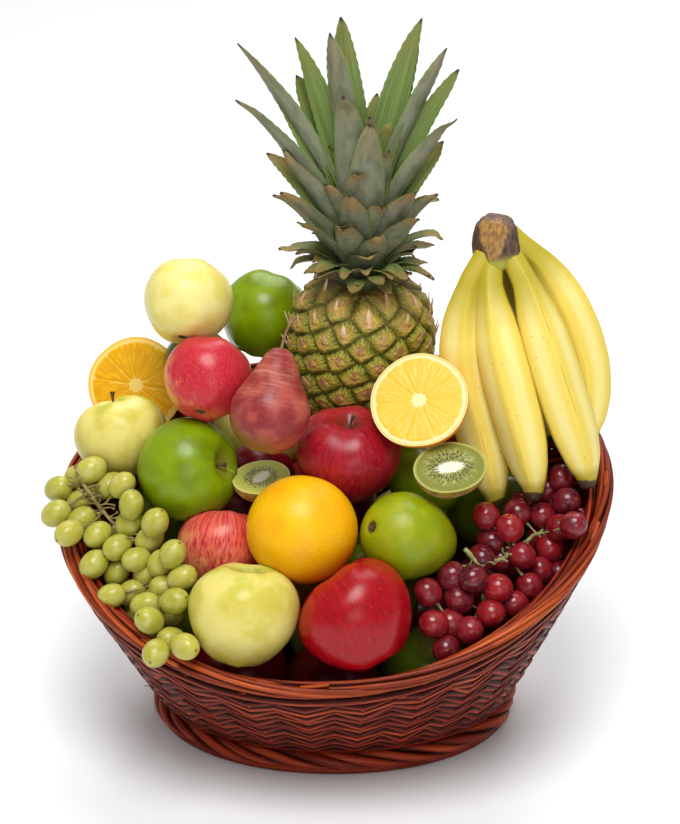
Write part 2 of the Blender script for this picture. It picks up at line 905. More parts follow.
@dataclass(frozen=True)
class GrapeSkin(Finish):
    """A grape's skin: clear flesh under it, a pale bloom over it and a brown scar at its tip."""

    clear: Colour
    ripe: Colour
    bloom: Colour
    bloom_share: float
    depth: Triple
    scar: Colour = (0.16, 0.09, 0.03)
    low: float = 0.16
    high: float = 0.34

    def paint(self, recipe: Recipe) -> None:
        """Fill the recipe."""
        own = recipe.attribute("own")
        tone = recipe.attribute("tone", "Fac")
        moved = own.vector("ADD", recipe.join(tone, tone * 7.0, tone * 3.0))
        patches = moved.effect(mottle, 1.3, 0.3, 0.7)
        dust = moved.effect(mottle, 1.6, 0.42, 0.78)
        colour = (tone * 0.65 + patches * 0.35).mix(self.clear, self.ripe)
        colour = (dust * self.bloom_share).mix(colour, self.bloom)
        colour = own.parts()[2].level(0.985, 0.996).mix(colour, self.scar)
        recipe.surface(colour, dust.range(self.low, self.high), coat_weight=0.15, coat_roughness=0.12,
                       specular_ior_level=0.40)
        recipe.bump(moved.noise(9.0, 3.0), 0.0003, 0.15)
        recipe.through(0.6, self.depth, 0.008)


@dataclass(frozen=True)
class Rind(Finish):
    """A pineapple's rind: tan eyes inside green borders, with dark lines between them."""

    name: str = "pineapple_rind_finish"
    line: Colour = (0.060, 0.075, 0.008)
    border: Colour = (0.27, 0.265, 0.020)
    ochre: Colour = (0.60, 0.38, 0.050)
    centre: Colour = (0.50, 0.27, 0.075)
    dry: Colour = (0.20, 0.095, 0.03)
    fibre: Colour = (0.62, 0.45, 0.17)
    fleck_light: Colour = (0.50, 0.46, 0.10)
    fleck_dark: Colour = (0.085, 0.060, 0.012)

    def paint(self, recipe: Recipe) -> None:
        """Fill the recipe."""
        edge = recipe.attribute("edge", "Fac")
        eye = recipe.attribute("own")
        streaks = eye.effect(rays, 5.0, 0.2, 0.35, 0.65)
        colour = (edge + (streaks - 0.5) * 0.45).ramp(
            (0.02, self.line), (0.16, self.border), (0.42, self.border),
            (0.62, self.ochre), (0.95, self.centre))
        dry = recipe.attribute("out").parts()[2].level(0.70, 0.98) * streaks.level(0.2, 0.6)
        colour = (dry * 0.75).mix(colour, self.dry)
        colour = (eye.effect(mottle, 3.0, 0.45, 0.7) * 0.25).mix(colour, self.border)
        fibres = streaks.level(0.45, 0.9) * edge.level(0.35, 0.7)
        colour = (fibres * 0.40).mix(colour, self.fibre)
        flecks = eye.noise(6.0, 5.0)
        colour = (flecks.level(0.56, 0.66) * 0.60).mix(colour, self.fleck_light)
        colour = (flecks.level(0.44, 0.35) * 0.50).mix(colour, self.fleck_dark)
        recipe.surface(colour, edge.range(0.62, 0.46), specular_ior_level=0.35)
        recipe.bump(eye.noise(5.0, 5.0), 0.0022, 0.8)


@dataclass(frozen=True)
class Bract(Finish):
    """Dry flaps on the pineapple's eyes: brown at the foot and pale at the tip."""

    name: str = "bract_finish"
    low: tuple[Colour, Colour] = ((0.44, 0.24, 0.09), (0.72, 0.48, 0.24))
    tip: tuple[Colour, Colour] = ((0.56, 0.31, 0.17), (0.84, 0.64, 0.44))

    def paint(self, recipe: Recipe) -> None:
        """Fill the recipe."""
        own = recipe.attribute("own")
        pattern = own.stretch((1.0, 0.3, 1.0)).noise(700.0, 3.0)
        tip = recipe.attribute("tone", "Fac").mix(*self.tip)
        recipe.surface(own.parts()[1].level(-0.001, 0.005).mix(pattern.mix(*self.low), tip), 0.62)
        recipe.bump(pattern, 0.0004, 0.5)


@dataclass(frozen=True)
class LeafSkin(Finish):
    """Tough leaves: a grey bloom on the backs, green inside and at the edges, dry ochre tips."""

    name: str = "crown_leaf_finish"
    bloom: Colour = (0.215, 0.235, 0.150)
    bloom_dark: Colour = (0.150, 0.158, 0.088)
    old_green: Colour = (0.100, 0.125, 0.032)
    young_green: Colour = (0.125, 0.195, 0.045)
    fresh: Colour = (0.42, 0.50, 0.16)
    dry: Colour = (0.290, 0.165, 0.045)
    dark_tip: Colour = (0.045, 0.026, 0.014)

    def paint(self, recipe: Recipe) -> None:
        """Fill the recipe."""
        across, along, tone = recipe.attribute("own").parts()
        back = recipe.attribute("outer", "Fac")
        age = recipe.attribute("age", "Fac")
        lines = recipe.join(across * 14.0, along * 1.6, tone * 40.0).noise(1.0, 4.0)
        blotch = recipe.join(across * 1.6, along * 6.0, tone * 31.0).noise(1.4, 4.0)
        green = age.level(0.25, 0.85).mix(self.old_green, self.young_green)
        light = lines.level(0.35, 0.7).mix(green, recipe.mix(0.35, green, self.fresh))
        grey = blotch.level(0.30, 0.62).mix(self.bloom_dark, self.bloom)
        edge = across.calc("ABSOLUTE").level(0.99, 0.80)
        colour = (edge * back).mix(light, grey)
        dry = (along + (blotch - 0.5) * 0.9).level(0.64, 0.94) * age.level(0.75, 0.35).range(0.30, 0.80)
        colour = dry.mix(colour, self.dry)
        colour = along.level(0.955, 0.995).mix(colour, self.dark_tip)
        recipe.surface(colour, edge.range(0.42, 0.58), specular_ior_level=0.35)
        recipe.bump(lines, 0.0005, 0.6)


@dataclass(frozen=True)
class BananaPeel(Finish):
    """Banana peel: creamy between its ridges, green at the neck, brown at the tip and in thin lines."""

    name: str = "banana_peel_finish"
    yellow: Colour = (0.82, 0.63, 0.105)
    cream: Colour = (0.87, 0.75, 0.27)
    green: Colour = (0.40, 0.32, 0.004)
    brown: Colour = (0.055, 0.026, 0.012)
    line: Colour = (0.42, 0.24, 0.05)

    def paint(self, recipe: Recipe) -> None:
        """Fill the recipe."""
        ridge, along, _ = recipe.attribute("own").parts()
        strand = recipe.attribute("strand")
        fibres = strand.effect(grain, 1.0, 0.35, 0.7)
        colour = ridge.level(0.75, 0.15).mix(self.yellow, self.cream)
        colour = (fibres * 0.18).mix(colour, self.yellow)
        along = along + (recipe.attribute("out").noise(2.0) - 0.5) * 0.03
        ends = along.level(0.36, 0.12).calc("MAXIMUM", along.level(0.90, 0.96))
        colour = (ends * 0.85).mix(colour, self.green)
        line = ridge.level(0.94, 1.0) * strand.stretch((14.0, 2.0, 30.0)).noise(1.0).level(0.50, 0.62)
        colour = (line * 0.75).mix(colour, self.line)
        spots = strand.stretch((60.0, 3.0, 9.0)).effect(freckles, 3.0, 0.05, 0.05)
        colour = (spots * 0.6).mix(colour, self.line)
        colour = along.level(0.960, 0.972).mix(colour, self.brown)
        recipe.surface(colour, fibres.range(0.38, 0.48), specular_ior_level=0.35)
        recipe.bump(fibres, 0.0003, 0.3)
        recipe.through(0.12, (1.0, 0.6, 0.2), 0.003)


@dataclass(frozen=True)
class BananaTop(Finish):
    """The woody top of a hand of bananas: green below, brown above and ochre where it was cut."""

    name: str = "banana_top_finish"
    green: tuple[Colour, Colour] = ((0.34, 0.33, 0.04), (0.52, 0.48, 0.07))
    brown: tuple[Colour, Colour] = ((0.045, 0.023, 0.016), (0.17, 0.092, 0.058))
    facet: tuple[Colour, Colour] = ((0.19, 0.085, 0.02), (0.52, 0.27, 0.06))

    def paint(self, recipe: Recipe) -> None:
        """Fill the recipe."""
        cut, high, _ = recipe.attribute("own").parts()
        fibre = recipe.where().stretch((1.0, 1.0, 0.25)).noise(420.0, 4.0)
        brown = fibre.ramp((0.35, self.brown[0]), (0.65, self.brown[1]))
        colour = (high + fibre * 0.2).level(0.42, 0.62).mix(fibre.mix(*self.green), brown)
        facet = fibre.ramp((0.3, self.facet[0]), (0.7, self.facet[1]))
        recipe.surface((cut * 0.85).mix(colour, facet), 0.66)
        recipe.bump(fibre, 0.0014, 0.8)


@dataclass(frozen=True)
class Woody(Finish):
    """Dry stalks and stems, from a dark colour to a light one, with fibres along them."""

    dark: Colour
    light: Colour
    roughness: float = 0.7

    def paint(self, recipe: Recipe) -> None:
        """Fill the recipe."""
        where = recipe.where()
        blend = where.noise(210.0, 4.0) * 0.7 + where.noise(900.0, 3.0) * 0.3
        recipe.surface(blend.ramp((0.3, self.dark), (0.7, self.light)), self.roughness)
        recipe.bump(blend, 0.0012, 0.7)


@dataclass(frozen=True)
class Seed(Finish):
    """Small dark seeds, wet and smooth."""

    name: str = "kiwi_seed_finish"
    dark: Colour = (0.010, 0.007, 0.006)
    light: Colour = (0.035, 0.020, 0.014)

    def paint(self, recipe: Recipe) -> None:
        """Fill the recipe."""
        recipe.surface(recipe.attribute("tone", "Fac").mix(self.dark, self.light), 0.25, coat_weight=0.3)
        recipe.bump(recipe.attribute("own").noise(3.0), 0.0001, 0.3)


@dataclass(frozen=True)
class PaleFloor(Finish):
    """A plain pale floor."""

    name: str = "studio_floor_finish"
    dark: Colour = (0.885, 0.900, 0.905)
    light: Colour = (0.895, 0.910, 0.915)

    def paint(self, recipe: Recipe) -> None:
        """Fill the recipe."""
        recipe.surface(recipe.where().noise(3.0).mix(self.dark, self.light), 0.85)


YELLOW = AppleSkin(
    "yellow_apple_finish", (0.74, 0.64, 0.17), (0.60, 0.51, 0.075), (0.50, 0.52, 0.05),
    blush_way=(0.0, 0.3, 0.95), blush_low=0.55, blush_high=1.2, streaks=0.3,
    specks=(0.55, 0.50, 0.12), speck_share=0.25, hollow=(0.26, 0.33, 0.04))
YELLOW_FRONT = replace(YELLOW, name="front_yellow_apple_finish", under=(0.26, 0.20, 0.022))
YELLOW_PALE = AppleSkin(
    "pale_yellow_apple_finish", (0.80, 0.71, 0.25), (0.72, 0.62, 0.14), (0.50, 0.52, 0.06),
    blush_way=(-0.1, 0.7, 0.7), blush_low=0.62, blush_high=1.2, streaks=0.3,
    specks=(0.58, 0.52, 0.20), speck_share=0.25, hollow=(0.34, 0.40, 0.08))
GREEN = AppleSkin(
    "green_apple_finish", (0.205, 0.310, 0.001), (0.150, 0.225, 0.001), (0.42, 0.46, 0.03),
    blush_way=(0.9, -0.2, 0.1), blush_low=0.80, blush_high=1.15, streaks=0.2,
    specks=(0.52, 0.60, 0.14), speck_share=0.5, hollow=(0.22, 0.21, 0.02), roughness=0.24)
RED = AppleSkin(
    "red_apple_finish", (0.38, 0.003, 0.010), (0.43, 0.006, 0.014), (0.38, 0.0005, 0.006),
    blush_way=(0.10, -0.55, 0.35), blush_low=-0.75, blush_high=0.15, streaks=0.5,
    deep=(0.28, 0.0005, 0.004), specks=(0.86, 0.50, 0.40), speck_share=0.40)
RED_UPPER = AppleSkin(
    "red_upper_apple_finish", (0.74, 0.24, 0.05), (0.60, 0.055, 0.045), (0.57, 0.034, 0.046),
    blush_way=(0.65, -0.10, 0.75), blush_low=-0.75, blush_high=-0.05, streaks=0.35, fine=46.0,
    deep=(0.46, 0.012, 0.026), specks=(0.92, 0.60, 0.48), speck_share=0.6)
PINK = AppleSkin(
    "pink_apple_finish", (0.80, 0.32, 0.12), (0.74, 0.20, 0.10), (0.72, 0.130, 0.080),
    blush_way=(0.35, -0.10, 0.75), blush_low=-0.60, blush_high=0.30, streaks=0.7,
    deep=(0.50, 0.022, 0.030), specks=(0.92, 0.62, 0.46), speck_share=0.5, roughness=0.30)
DARK_RED = AppleSkin(
    "dark_red_apple_finish", (0.44, 0.030, 0.026), (0.38, 0.018, 0.022), (0.36, 0.008, 0.020),
    blush_way=(0.3, -0.4, 0.2), blush_low=-0.70, blush_high=0.35, streaks=0.4,
    deep=(0.25, 0.004, 0.014), specks=(0.82, 0.40, 0.34), speck_share=0.5,
    hollow=(0.20, 0.030, 0.015), roughness=0.24)
RED_PEAR = PearSkin(
    "red_pear_finish", (0.25, 0.022, 0.024), (0.42, 0.075, 0.055), (0.24, 0.110, 0.018),
    (-0.60, -0.30, -0.75), (0.55, 0.26, 0.16), 0.4, 0.34, 0.55)
GREEN_PEAR = PearSkin(
    "green_pear_finish", (0.24, 0.31, 0.001), (0.33, 0.36, 0.004), (0.15, 0.18, 0.001),
    (0.2, -0.25, -0.95), (0.12, 0.15, 0.005), 0.35, 0.30)
UNDER = {
    "orange_peel": Peel("lower_orange_finish", (0.50, 0.20, 0.002), (0.46, 0.15, 0.002), (0.42, 0.09, 0.002)),
    "red_apple": replace(RED, name="lower_red_finish", blush=(0.20, 0.002, 0.008), deep=(0.14, 0.001, 0.005)),
    "green_apple": replace(GREEN, name="lower_green_finish", ground=(0.11, 0.16, 0.002),
                           drift=(0.09, 0.12, 0.002), blush=(0.15, 0.18, 0.01)),
    "yellow_apple": replace(YELLOW, name="lower_yellow_finish", ground=(0.46, 0.42, 0.09),
                            drift=(0.38, 0.36, 0.06)),
    "dark_red_apple": replace(DARK_RED, name="lower_dark_red_finish", ground=(0.20, 0.012, 0.012),
                              drift=(0.16, 0.008, 0.010), blush=(0.14, 0.003, 0.008),
                              deep=(0.10, 0.002, 0.006)),
}


@dataclass
class WholeFruit:
    """A whole fruit: its middle and widest radius in millimetres, and the way its stalk end points."""

    node: str
    centre: Triple
    radius: float
    axis: Triple
    finish: Finish
    slot: str
    form: Form = Form.APPLE
    tall: float = 0.90
    taper: float = 0.10
    lobes: float = 0.035
    lean: float = 0.0
    spin: float = 0.0
    stalk: float = 0.0
    squeeze: float = 1.0
    neck: float = 0.0
    blunt: float = 1.0
    segments: int = 72
    rings: int = 56
    piece: bpy.types.Object | None = None

    def profile(self, way: Rows) -> tuple[Rows, Rows]:
        """Return the distance from the axis and the height at each angle from the stalk end."""
        size = self.radius * MM
        if self.form is Form.ORANGE:
            reach = size * np.sin(way)
            dimple = 0.035 * size * np.exp(-((np.sin(way) / 0.16) ** 2))
            return reach, 0.97 * size * np.cos(way) - dimple * np.sign(np.cos(way))
        if self.form is Form.PEAR:
            c = np.cos(way)
            round_end = np.sin(way) ** np.where(c > 0, self.blunt, 1.0)
            reach = size * round_end * np.where(c > 0, 1 - self.taper * c * c, 1.0)
            reach = reach * (1 - self.neck * ease(c, 0.08, 0.76))
            high = size * np.where(c > 0, c * (self.tall - 0.33) + 0.33 * c * c, c)
            pit = 0.10 * size * np.exp(-((reach / size / 0.13) ** 2))
            return reach, high + np.where(c < 0, pit, -0.4 * pit)
        bent = way + 0.16 * np.sin(2 * way)
        reach = size * np.sin(bent) * (1 + self.taper * np.cos(bent))
        share = reach / size
        top = 0.34 * size * np.exp(-((share / 0.27) ** 2))
        low = 0.17 * size * np.exp(-((share / 0.20) ** 2))
        return reach, self.tall * size * np.cos(bent) - np.where(bent < math.pi / 2, top, -low)

    def turn(self) -> Matrix:
        """Return how the fruit's own frame is turned and pressed."""
        lean = UP.rotation_difference(Vector(self.axis).normalized()).to_matrix().to_4x4()
        press = Matrix.Scale(self.squeeze, 4, Vector((0, -0.899, 0.438)).normalized())
        return press @ lean @ Matrix.Rotation(math.radians(self.spin), 4, "Z")

    def build(self) -> None:
        """Shape a ball into the fruit, at its place."""
        obj = ball(self.node + "_whole", self.segments, self.rings)
        way, around = ball_angles(points_of(obj))
        reach, high = self.profile(way)
        size = self.radius * MM
        height = np.clip(high / size, -1, 1)
        fives = np.cos(5 * around)
        share = np.minimum(1.0, reach / size)
        lift = self.lobes * size * fives * share * height
        wide = reach * (1 + self.lobes * fives * np.abs(height) ** 1.5)
        bumps = 0.006 * np.sin(3 * around + self.radius) * np.sin(2 * way + self.centre[0])
        bumps += 0.004 * np.sin(2 * around + self.centre[1]) * np.sin(3 * way)
        wide = wide * (1 + bumps)
        own = np.stack([wide * np.cos(around), wide * np.sin(around), high + lift], axis=1)
        own[:, 2] += self.lean * own[:, 0] * np.maximum(0.0, height)
        turned = own @ np.array(self.turn())[:3, :3].T
        note(obj, "own", own / size)
        note(obj, "out", unit(turned))
        move_points(obj, turned + np.array(place(self.centre)))
        shade(obj, 70)
        self.piece = obj
        if self.stalk:
            self.add_stalk(float(own[np.argmin(way), 2]))
        if self.form is Form.PEAR:
            self.add_calyx(float(own[np.argmax(way), 2]))

    def add_stalk(self, foot: float) -> None:
        """Add the stalk that stands in the hollow.

        Args:
            foot: the hollow's height on the fruit's own axis.
        """
        length = self.stalk * MM
        bend = 0.20 * length
        knots = np.array([(0, 0, foot - 0.003), (bend * 0.1, 0, foot + length * 0.3),
                          (bend * 0.45, 0, foot + length * 0.68), (bend, 0, foot + length)])
        route = smooth_route(knots, 16)
        turned = route @ np.array(self.turn())[:3, :3].T + np.array(place(self.centre))
        share = np.linspace(0, 1, 16)
        thick = 0.0012 * (1.25 - 0.5 * np.sin(share * math.pi) + 0.5 * share**4)
        finish = PEAR_STALK if self.form is Form.PEAR else STALK
        finished_rods(self.node + "_stalk", [Rod(turned, thick, thick)], 10, finish, self.slot, degrees=50)

    def add_calyx(self, foot: float) -> None:
        """Add the dry calyx opposite the stalk: small pointed leaves that spread from a ring.

        Args:
            foot: the height of the fruit's lower end on its own axis.
        """
        turn = np.array(self.turn())[:3, :3].T
        rods = []
        for k in range(6):
            angle = k * math.pi / 3 + 0.3 * math.sin(k * 2.0)
            way = np.array((math.cos(angle), math.sin(angle), 0.0))
            knots = np.array([way * 0.0008 + (0, 0, foot + 0.001), way * 0.0024 + (0, 0, foot - 0.0018),
                              way * 0.0046 + (0, 0, foot - 0.0012)])
            route = smooth_route(knots, 8) @ turn + np.array(place(self.centre))
            share = np.linspace(0, 1, 8)
            thick = 0.0011 * (1.0 - 0.8 * share)
            rods.append(Rod(route, thick, thick * 0.6))
        finished_rods(self.node + "_calyx", rods, 8, STALK, self.slot, degrees=50)

    def dress(self) -> None:
        """Give the fruit its skin."""
        hand_over(self.piece, [self.finish.build()], self.slot, [self.node])


STALK = Woody("fruit_stalk_finish", (0.035, 0.018, 0.010), (0.16, 0.085, 0.035))
PEAR_STALK = Woody("pear_stalk_finish", (0.10, 0.05, 0.02), (0.36, 0.22, 0.10))

FRUIT = (
    WholeFruit("apple_yellow_front", (-65.6, -119, 149.7), 39.5, (0.15, 0.34, 0.92), YELLOW_FRONT,
               "yellow_apple", tall=0.97, taper=0.17, lobes=0.025, lean=-0.06, spin=200),
    WholeFruit("apple_red_front", (16.4, -123.5, 149.7), 42.0, (-0.50, 0.50, 0.70), RED, "red_apple",
               tall=0.92, taper=0.16, lobes=0.030, lean=0.12, spin=20),
    WholeFruit("apple_pink", (-84.0, -48, 164.5), 33.0, (0.10, 0.55, 0.83), PINK, "pink_apple",
               tall=0.92, taper=0.08, squeeze=0.84),
    WholeFruit("apple_dark_red", (10.3, -5.9, 219.7), 39.4, (0.05, -0.05, 1.0), DARK_RED, "dark_red_apple",
               tall=0.90, taper=0.13, stalk=13),
    WholeFruit("apple_green", (-109.4, -16.5, 213.7), 39.0, (0.85, -0.34, 0.33), GREEN, "green_apple",
               tall=0.95, taper=0.06, lobes=0.02, stalk=9, squeeze=0.86),
    WholeFruit("apple_yellow_left", (-161.1, 28, 218.3), 35.5, (-0.25, 0.33, 0.90), YELLOW, "yellow_apple",
               tall=0.90, taper=0.10, lobes=0.05, spin=60, stalk=15),
    WholeFruit("apple_red_upper", (-94, 4.1, 278.7), 32.5, (0.15, 0.75, 0.60), RED_UPPER, "red_apple",
               tall=0.96, taper=0.08),
    WholeFruit("apple_yellow_top", (-109.2, 45.3, 322.7), 33.4, (0.10, 0.70, 0.66), YELLOW_PALE,
               "yellow_apple", tall=0.98, taper=0.06, lobes=0.03),
    WholeFruit("apple_green_back", (-55.1, 128, 275.5), 34.2, (0.35, 0.55, 0.72), GREEN, "green_apple",
               tall=1.02, taper=0.06, lobes=0.03),
    WholeFruit("apple_green_middle", (68.8, 10, 191), 30.0, (0.20, 0.30, 0.93), GREEN, "green_apple"),
    WholeFruit("orange_whole", (-23.5, -67.8, 191.2), 41.0, (0.20, 0.62, 0.76), Peel(), "orange_peel",
               form=Form.ORANGE, lobes=0.0, squeeze=0.91, segments=96, rings=72),
    WholeFruit("pear_red", (-46.8, -31.7, 267.6), 29.5, (0.17, 0.50, 0.85), RED_PEAR, "red_pear",
               form=Form.PEAR, tall=1.68, taper=0.20, lobes=0.0, stalk=24, neck=0.22, blunt=0.80),
    WholeFruit("pear_green", (50.8, -67.6, 186.3), 32.2, (0.74, 0.42, -0.46), GREEN_PEAR, "green_pear",
               form=Form.PEAR, tall=1.45, taper=0.12, lobes=0.0),
)

# Each fruit that others press on, with those that lie in front of it.
PRESSED = {
    "apple_green": ("apple_pink", "kiwi_half_left"),
    "apple_pink": ("orange_whole", "apple_yellow_front"),
    "kiwi_half_left": ("orange_whole", "apple_dark_red"),
    "apple_dark_red": ("orange_whole",),
    "orange_whole": ("apple_yellow_front", "apple_red_front"),
    "pear_green": ("apple_red_front",),
    "apple_red_upper": ("pear_red",),
}

LOWER_FRUIT = (
    ((0, -78, 64), 37, "dark_red_apple"), ((-72, -60, 64), 37, "red_apple"),
    ((72, -60, 64), 37, "green_apple"),
    ((0, -3, 64), 37, "yellow_apple"), ((-72, 16, 64), 37, "orange_peel"), ((72, 16, 64), 37, "red_apple"),
    ((0, 72, 76), 37, "green_apple"), ((-124, -24, 104), 37, "green_apple"),
    ((120, -24, 108), 37, "dark_red_apple"), ((-64, 72, 116), 37, "red_apple"),
    ((60, 64, 120), 37, "yellow_apple"), ((28, -40, 124), 37, "green_apple"),
    ((-40, -8, 128), 37, "orange_peel"), ((-124, 36, 148), 37, "green_apple"),
    ((124, 36, 152), 37, "green_apple"), ((-4, 52, 156), 37, "red_apple"),
    ((-60, 92, 188), 37, "yellow_apple"), ((96, 84, 197), 34, "red_apple"),
    ((-56, 27, 187), 27, "red_apple"), ((-105, 64, 266), 26, "green_apple"),
)


def lower_fruit() -> list[WholeFruit]:
    """Return the fruit under and behind what the front shows, each leaning its own way."""
    fruits = []
    for number, (centre, radius, slot) in enumerate(LOWER_FRUIT, start=1):
        is_orange = slot == "orange_peel"
        fruits.append(WholeFruit(
            "lower_fruit_%02d" % number, centre, radius,
            (math.sin(number * 2.1) * 0.4, math.cos(number * 1.3) * 0.4, 1.0), UNDER[slot], slot,
            form=Form.ORANGE if is_orange else Form.APPLE, tall=0.90, taper=0.0,
            lobes=0.0 if is_orange else 0.02, spin=number * 40.0, segments=48, rings=36))
    return fruits


def press(obj: bpy.types.Object, others: Iterable[bpy.types.Object], gap: float = 0.0003) -> None:
    """Flatten a fruit where others press on it, by moving its points out of them.

    Args:
        obj: the fruit that gives way.
        others: the fruit that press on it.
        gap: how far they stay apart.
    """
    points = points_of(obj)
    middle = Vector(points.mean(axis=0))
    for other in others:
        tree = BVHTree.FromObject(other, bpy.context.evaluated_depsgraph_get())
        for index, row in enumerate(points):
            spot = Vector(row)
            near, normal, _, _ = tree.find_nearest(spot)
            if (spot - near).dot(normal) < gap:
                ray = (spot - middle).normalized()
                hit, _, _, far = tree.ray_cast(middle, ray)
                if hit is not None and far < (spot - middle).length + gap:
                    points[index] = hit - ray * gap
    move_points(obj, points)


@dataclass
class CutFruit:
    """A half fruit: the middle of its cut face, its half sizes, the face's normal and its long way."""

    node: str
    flesh: Flesh
    centre: Triple
    half_length: float
    half_width: float
    depth: float
    normal: Triple
    long_way: Triple
    face: Finish
    skin: Finish
    slot: str
    wedges: int = 11
    seed: int = 1
    seeds: int = 84
    piece: bpy.types.Object | None = None

    def turn(self) -> Matrix:
        """Return the face's frame: along, across and out of it."""
        normal = Vector(self.normal).normalized()
        along = Vector(self.long_way)
        along = (along - normal * along.dot(normal)).normalized()
        across = normal.cross(along)
        turn = Matrix((along, across, normal)).transposed().to_4x4()
        return Matrix.Translation(place(self.centre)) @ turn

    def wedge_depths(self, reach: Rows, around: Rows) -> Rows:
        """Return how far inside its wedge each point of the face lies, in millimetres."""
        draw = random.Random(self.seed)
        shares = [k + draw.uniform(-0.16, 0.16) for k in range(self.wedges)]
        walls = np.sort([share * 2 * math.pi / self.wedges for share in shares])
        walls = walls + draw.uniform(0, 1)
        apart = np.abs((around[:, None] - walls[None] + math.pi) % (2 * math.pi) - math.pi).min(axis=1)
        side = reach * np.sin(np.minimum(apart, math.pi / 2)) - 0.30
        outer = self.half_length * 0.89 - reach
        inner = reach - self.half_length * 0.13
        soft = 1.1
        total = np.exp(-side / soft) + np.exp(-outer / soft) + np.exp(-inner / soft)
        return -soft * np.log(total) + 0.35

    def build(self) -> None:
        """Shape a ball: its upper half becomes the cut face and its lower half the skin."""
        is_citrus = self.flesh is Flesh.CITRUS
        obj = ball(self.node + "_cut", 192 if is_citrus else 144, 96 if is_citrus else 72)
        way, around = ball_angles(points_of(obj))
        on_face = way < math.pi / 2 - 1e-6
        share = np.where(on_face, way / (math.pi / 2), np.sin(way))
        low = np.where(on_face, 0.0, np.cos(way))
        own = np.stack([share * np.cos(around), share * np.sin(around), low], axis=1)
        size = np.array((self.half_length, self.half_width, self.depth))
        flat = own * size
        reach = np.hypot(flat[:, 0], flat[:, 1])
        if is_citrus:
            inside = self.wedge_depths(reach, around)
            relief = 0.35 * ease(inside, 0.0, 1.6) - 0.20 * ease(share, 0.90, 0.97)
        else:
            inside = share
            relief = 0.35 * ease(share, 0.95, 0.80) - 0.25 * ease(share, 0.34, 0.20)
            relief = relief + 0.5 * ease(share, 0.20, 0.0)
        wobble = 1 + 0.008 * np.sin(3 * around + self.seed) + 0.006 * np.sin(5 * around)
        flat[:, :2] *= wobble[:, None]
        flat[:, 2] += np.where(on_face, relief * ease(1 - share, 0.0, 0.03), 0.0)
        note(obj, "own", own)
        note(obj, "inside", inside)
        note(obj, "edge", np.where(on_face, (1 - share) * self.half_length, 9.0))
        polar = np.stack([around * self.half_length * 0.55, reach, np.zeros_like(reach)], axis=1)
        note(obj, "polar", polar * MM)
        grid = np.array(self.turn())
        turned = flat * MM @ grid[:3, :3].T
        note(obj, "out", unit(turned))
        move_points(obj, turned + grid[:3, 3])
        heights = own[:, 2]
        kinds = [0 if heights[list(polygon.vertices)].min() > -0.001 else 1 for polygon in obj.data.polygons]
        obj.data.polygons.foreach_set("material_index", kinds)
        shade(obj, 40)
        self.piece = obj
        if not is_citrus:
            self.add_seeds()

    def add_seeds(self) -> None:
        """Set dark seeds round the core of a kiwi fruit, each pointing to its middle."""
        draw = random.Random(self.seed)
        model = ball("kiwi_seed", 8, 6)
        spots = points_of(model)
        spots[:, 0] *= 1.0 - 0.35 * spots[:, 2]
        spots[:, 1] *= 1.0 - 0.35 * spots[:, 2]
        move_points(model, spots * np.array((0.30, 0.46, 1.20)) * MM)
        turns = []
        tones = []
        for k in range(self.seeds):
            angle = (k + draw.uniform(-0.35, 0.35)) * 2 * math.pi / self.seeds
            share = (0.38, 0.56, 0.47)[k % 3] + draw.uniform(-0.05, 0.05)
            spot = Vector((share * self.half_length * math.cos(angle),
                           share * self.half_width * math.sin(angle), 0.30))
            inward = Vector((-spot.x, -spot.y, 0.0)).normalized()
            side = UP.cross(inward)
            basis = Matrix((UP, side, inward)).transposed().to_4x4()
            size = draw.uniform(0.75, 1.1)
            turns.append(self.turn() @ Matrix.Translation(spot * MM) @ basis @ Matrix.Scale(size, 4))
            tones.append(draw.random())
        obj = copies_piece(self.node + "_seeds", model, turns, tones)
        shade(obj, 80)
        hand_over(obj, [Seed().build()], self.slot)

    def dress(self) -> None:
        """Give the half its cut face and its skin."""
        hand_over(self.piece, [self.face.build(), self.skin.build()], self.slot, [self.node])


HALVES = (
    CutFruit("orange_half_left", Flesh.CITRUS, (-153.4, 78, 238), 37.0, 37.0, 31, (0.0, -0.90, 0.44),
             (1, 0, 0), CitrusFace("left_orange_face", (0.82, 0.47, 0.002), (0.76, 0.36, 0.001),
                                   (0.90, 0.64, 0.18), (0.88, 0.58, 0.06), (0.86, 0.42, 0.003)),
             Peel(), "orange_peel", 10, 4),
    CutFruit("orange_half_right", Flesh.CITRUS, (62, -19.5, 273), 36.2, 36.2, 31, (-0.20, -0.67, 0.715),
             (1, 0, 0), CitrusFace("right_orange_face", (0.88, 0.56, 0.065), (0.86, 0.50, 0.040),
                                   (0.90, 0.74, 0.38), (0.89, 0.62, 0.13), (0.84, 0.48, 0.03)),
             Peel(), "orange_peel", 10, 9),
    CutFruit("kiwi_half_left", Flesh.KIWI, (-54.2, -22, 210.5), 23.5, 20.5, 17, (0.0, -0.10, 0.99),
             (0.53, 0.85, 0),
             KiwiFace("left_kiwi_face_finish", core=(0.98, 0.96, 0.74), inner=(0.44, 0.47, 0.06),
                      flesh=(0.56, 0.58, 0.09), rim=(0.72, 0.72, 0.24)),
             KiwiSkin("left_kiwi_skin_finish", light=(0.62, 0.40, 0.05)), "kiwi_skin", 0, 2),
    CutFruit("kiwi_half_right", Flesh.KIWI, (84, -55, 236), 27.0, 22.5, 22, (0.0, -0.44, 0.90),
             (0.95, 0.22, 0.14), KiwiFace(), KiwiSkin(), "kiwi_skin", 0, 3),
)


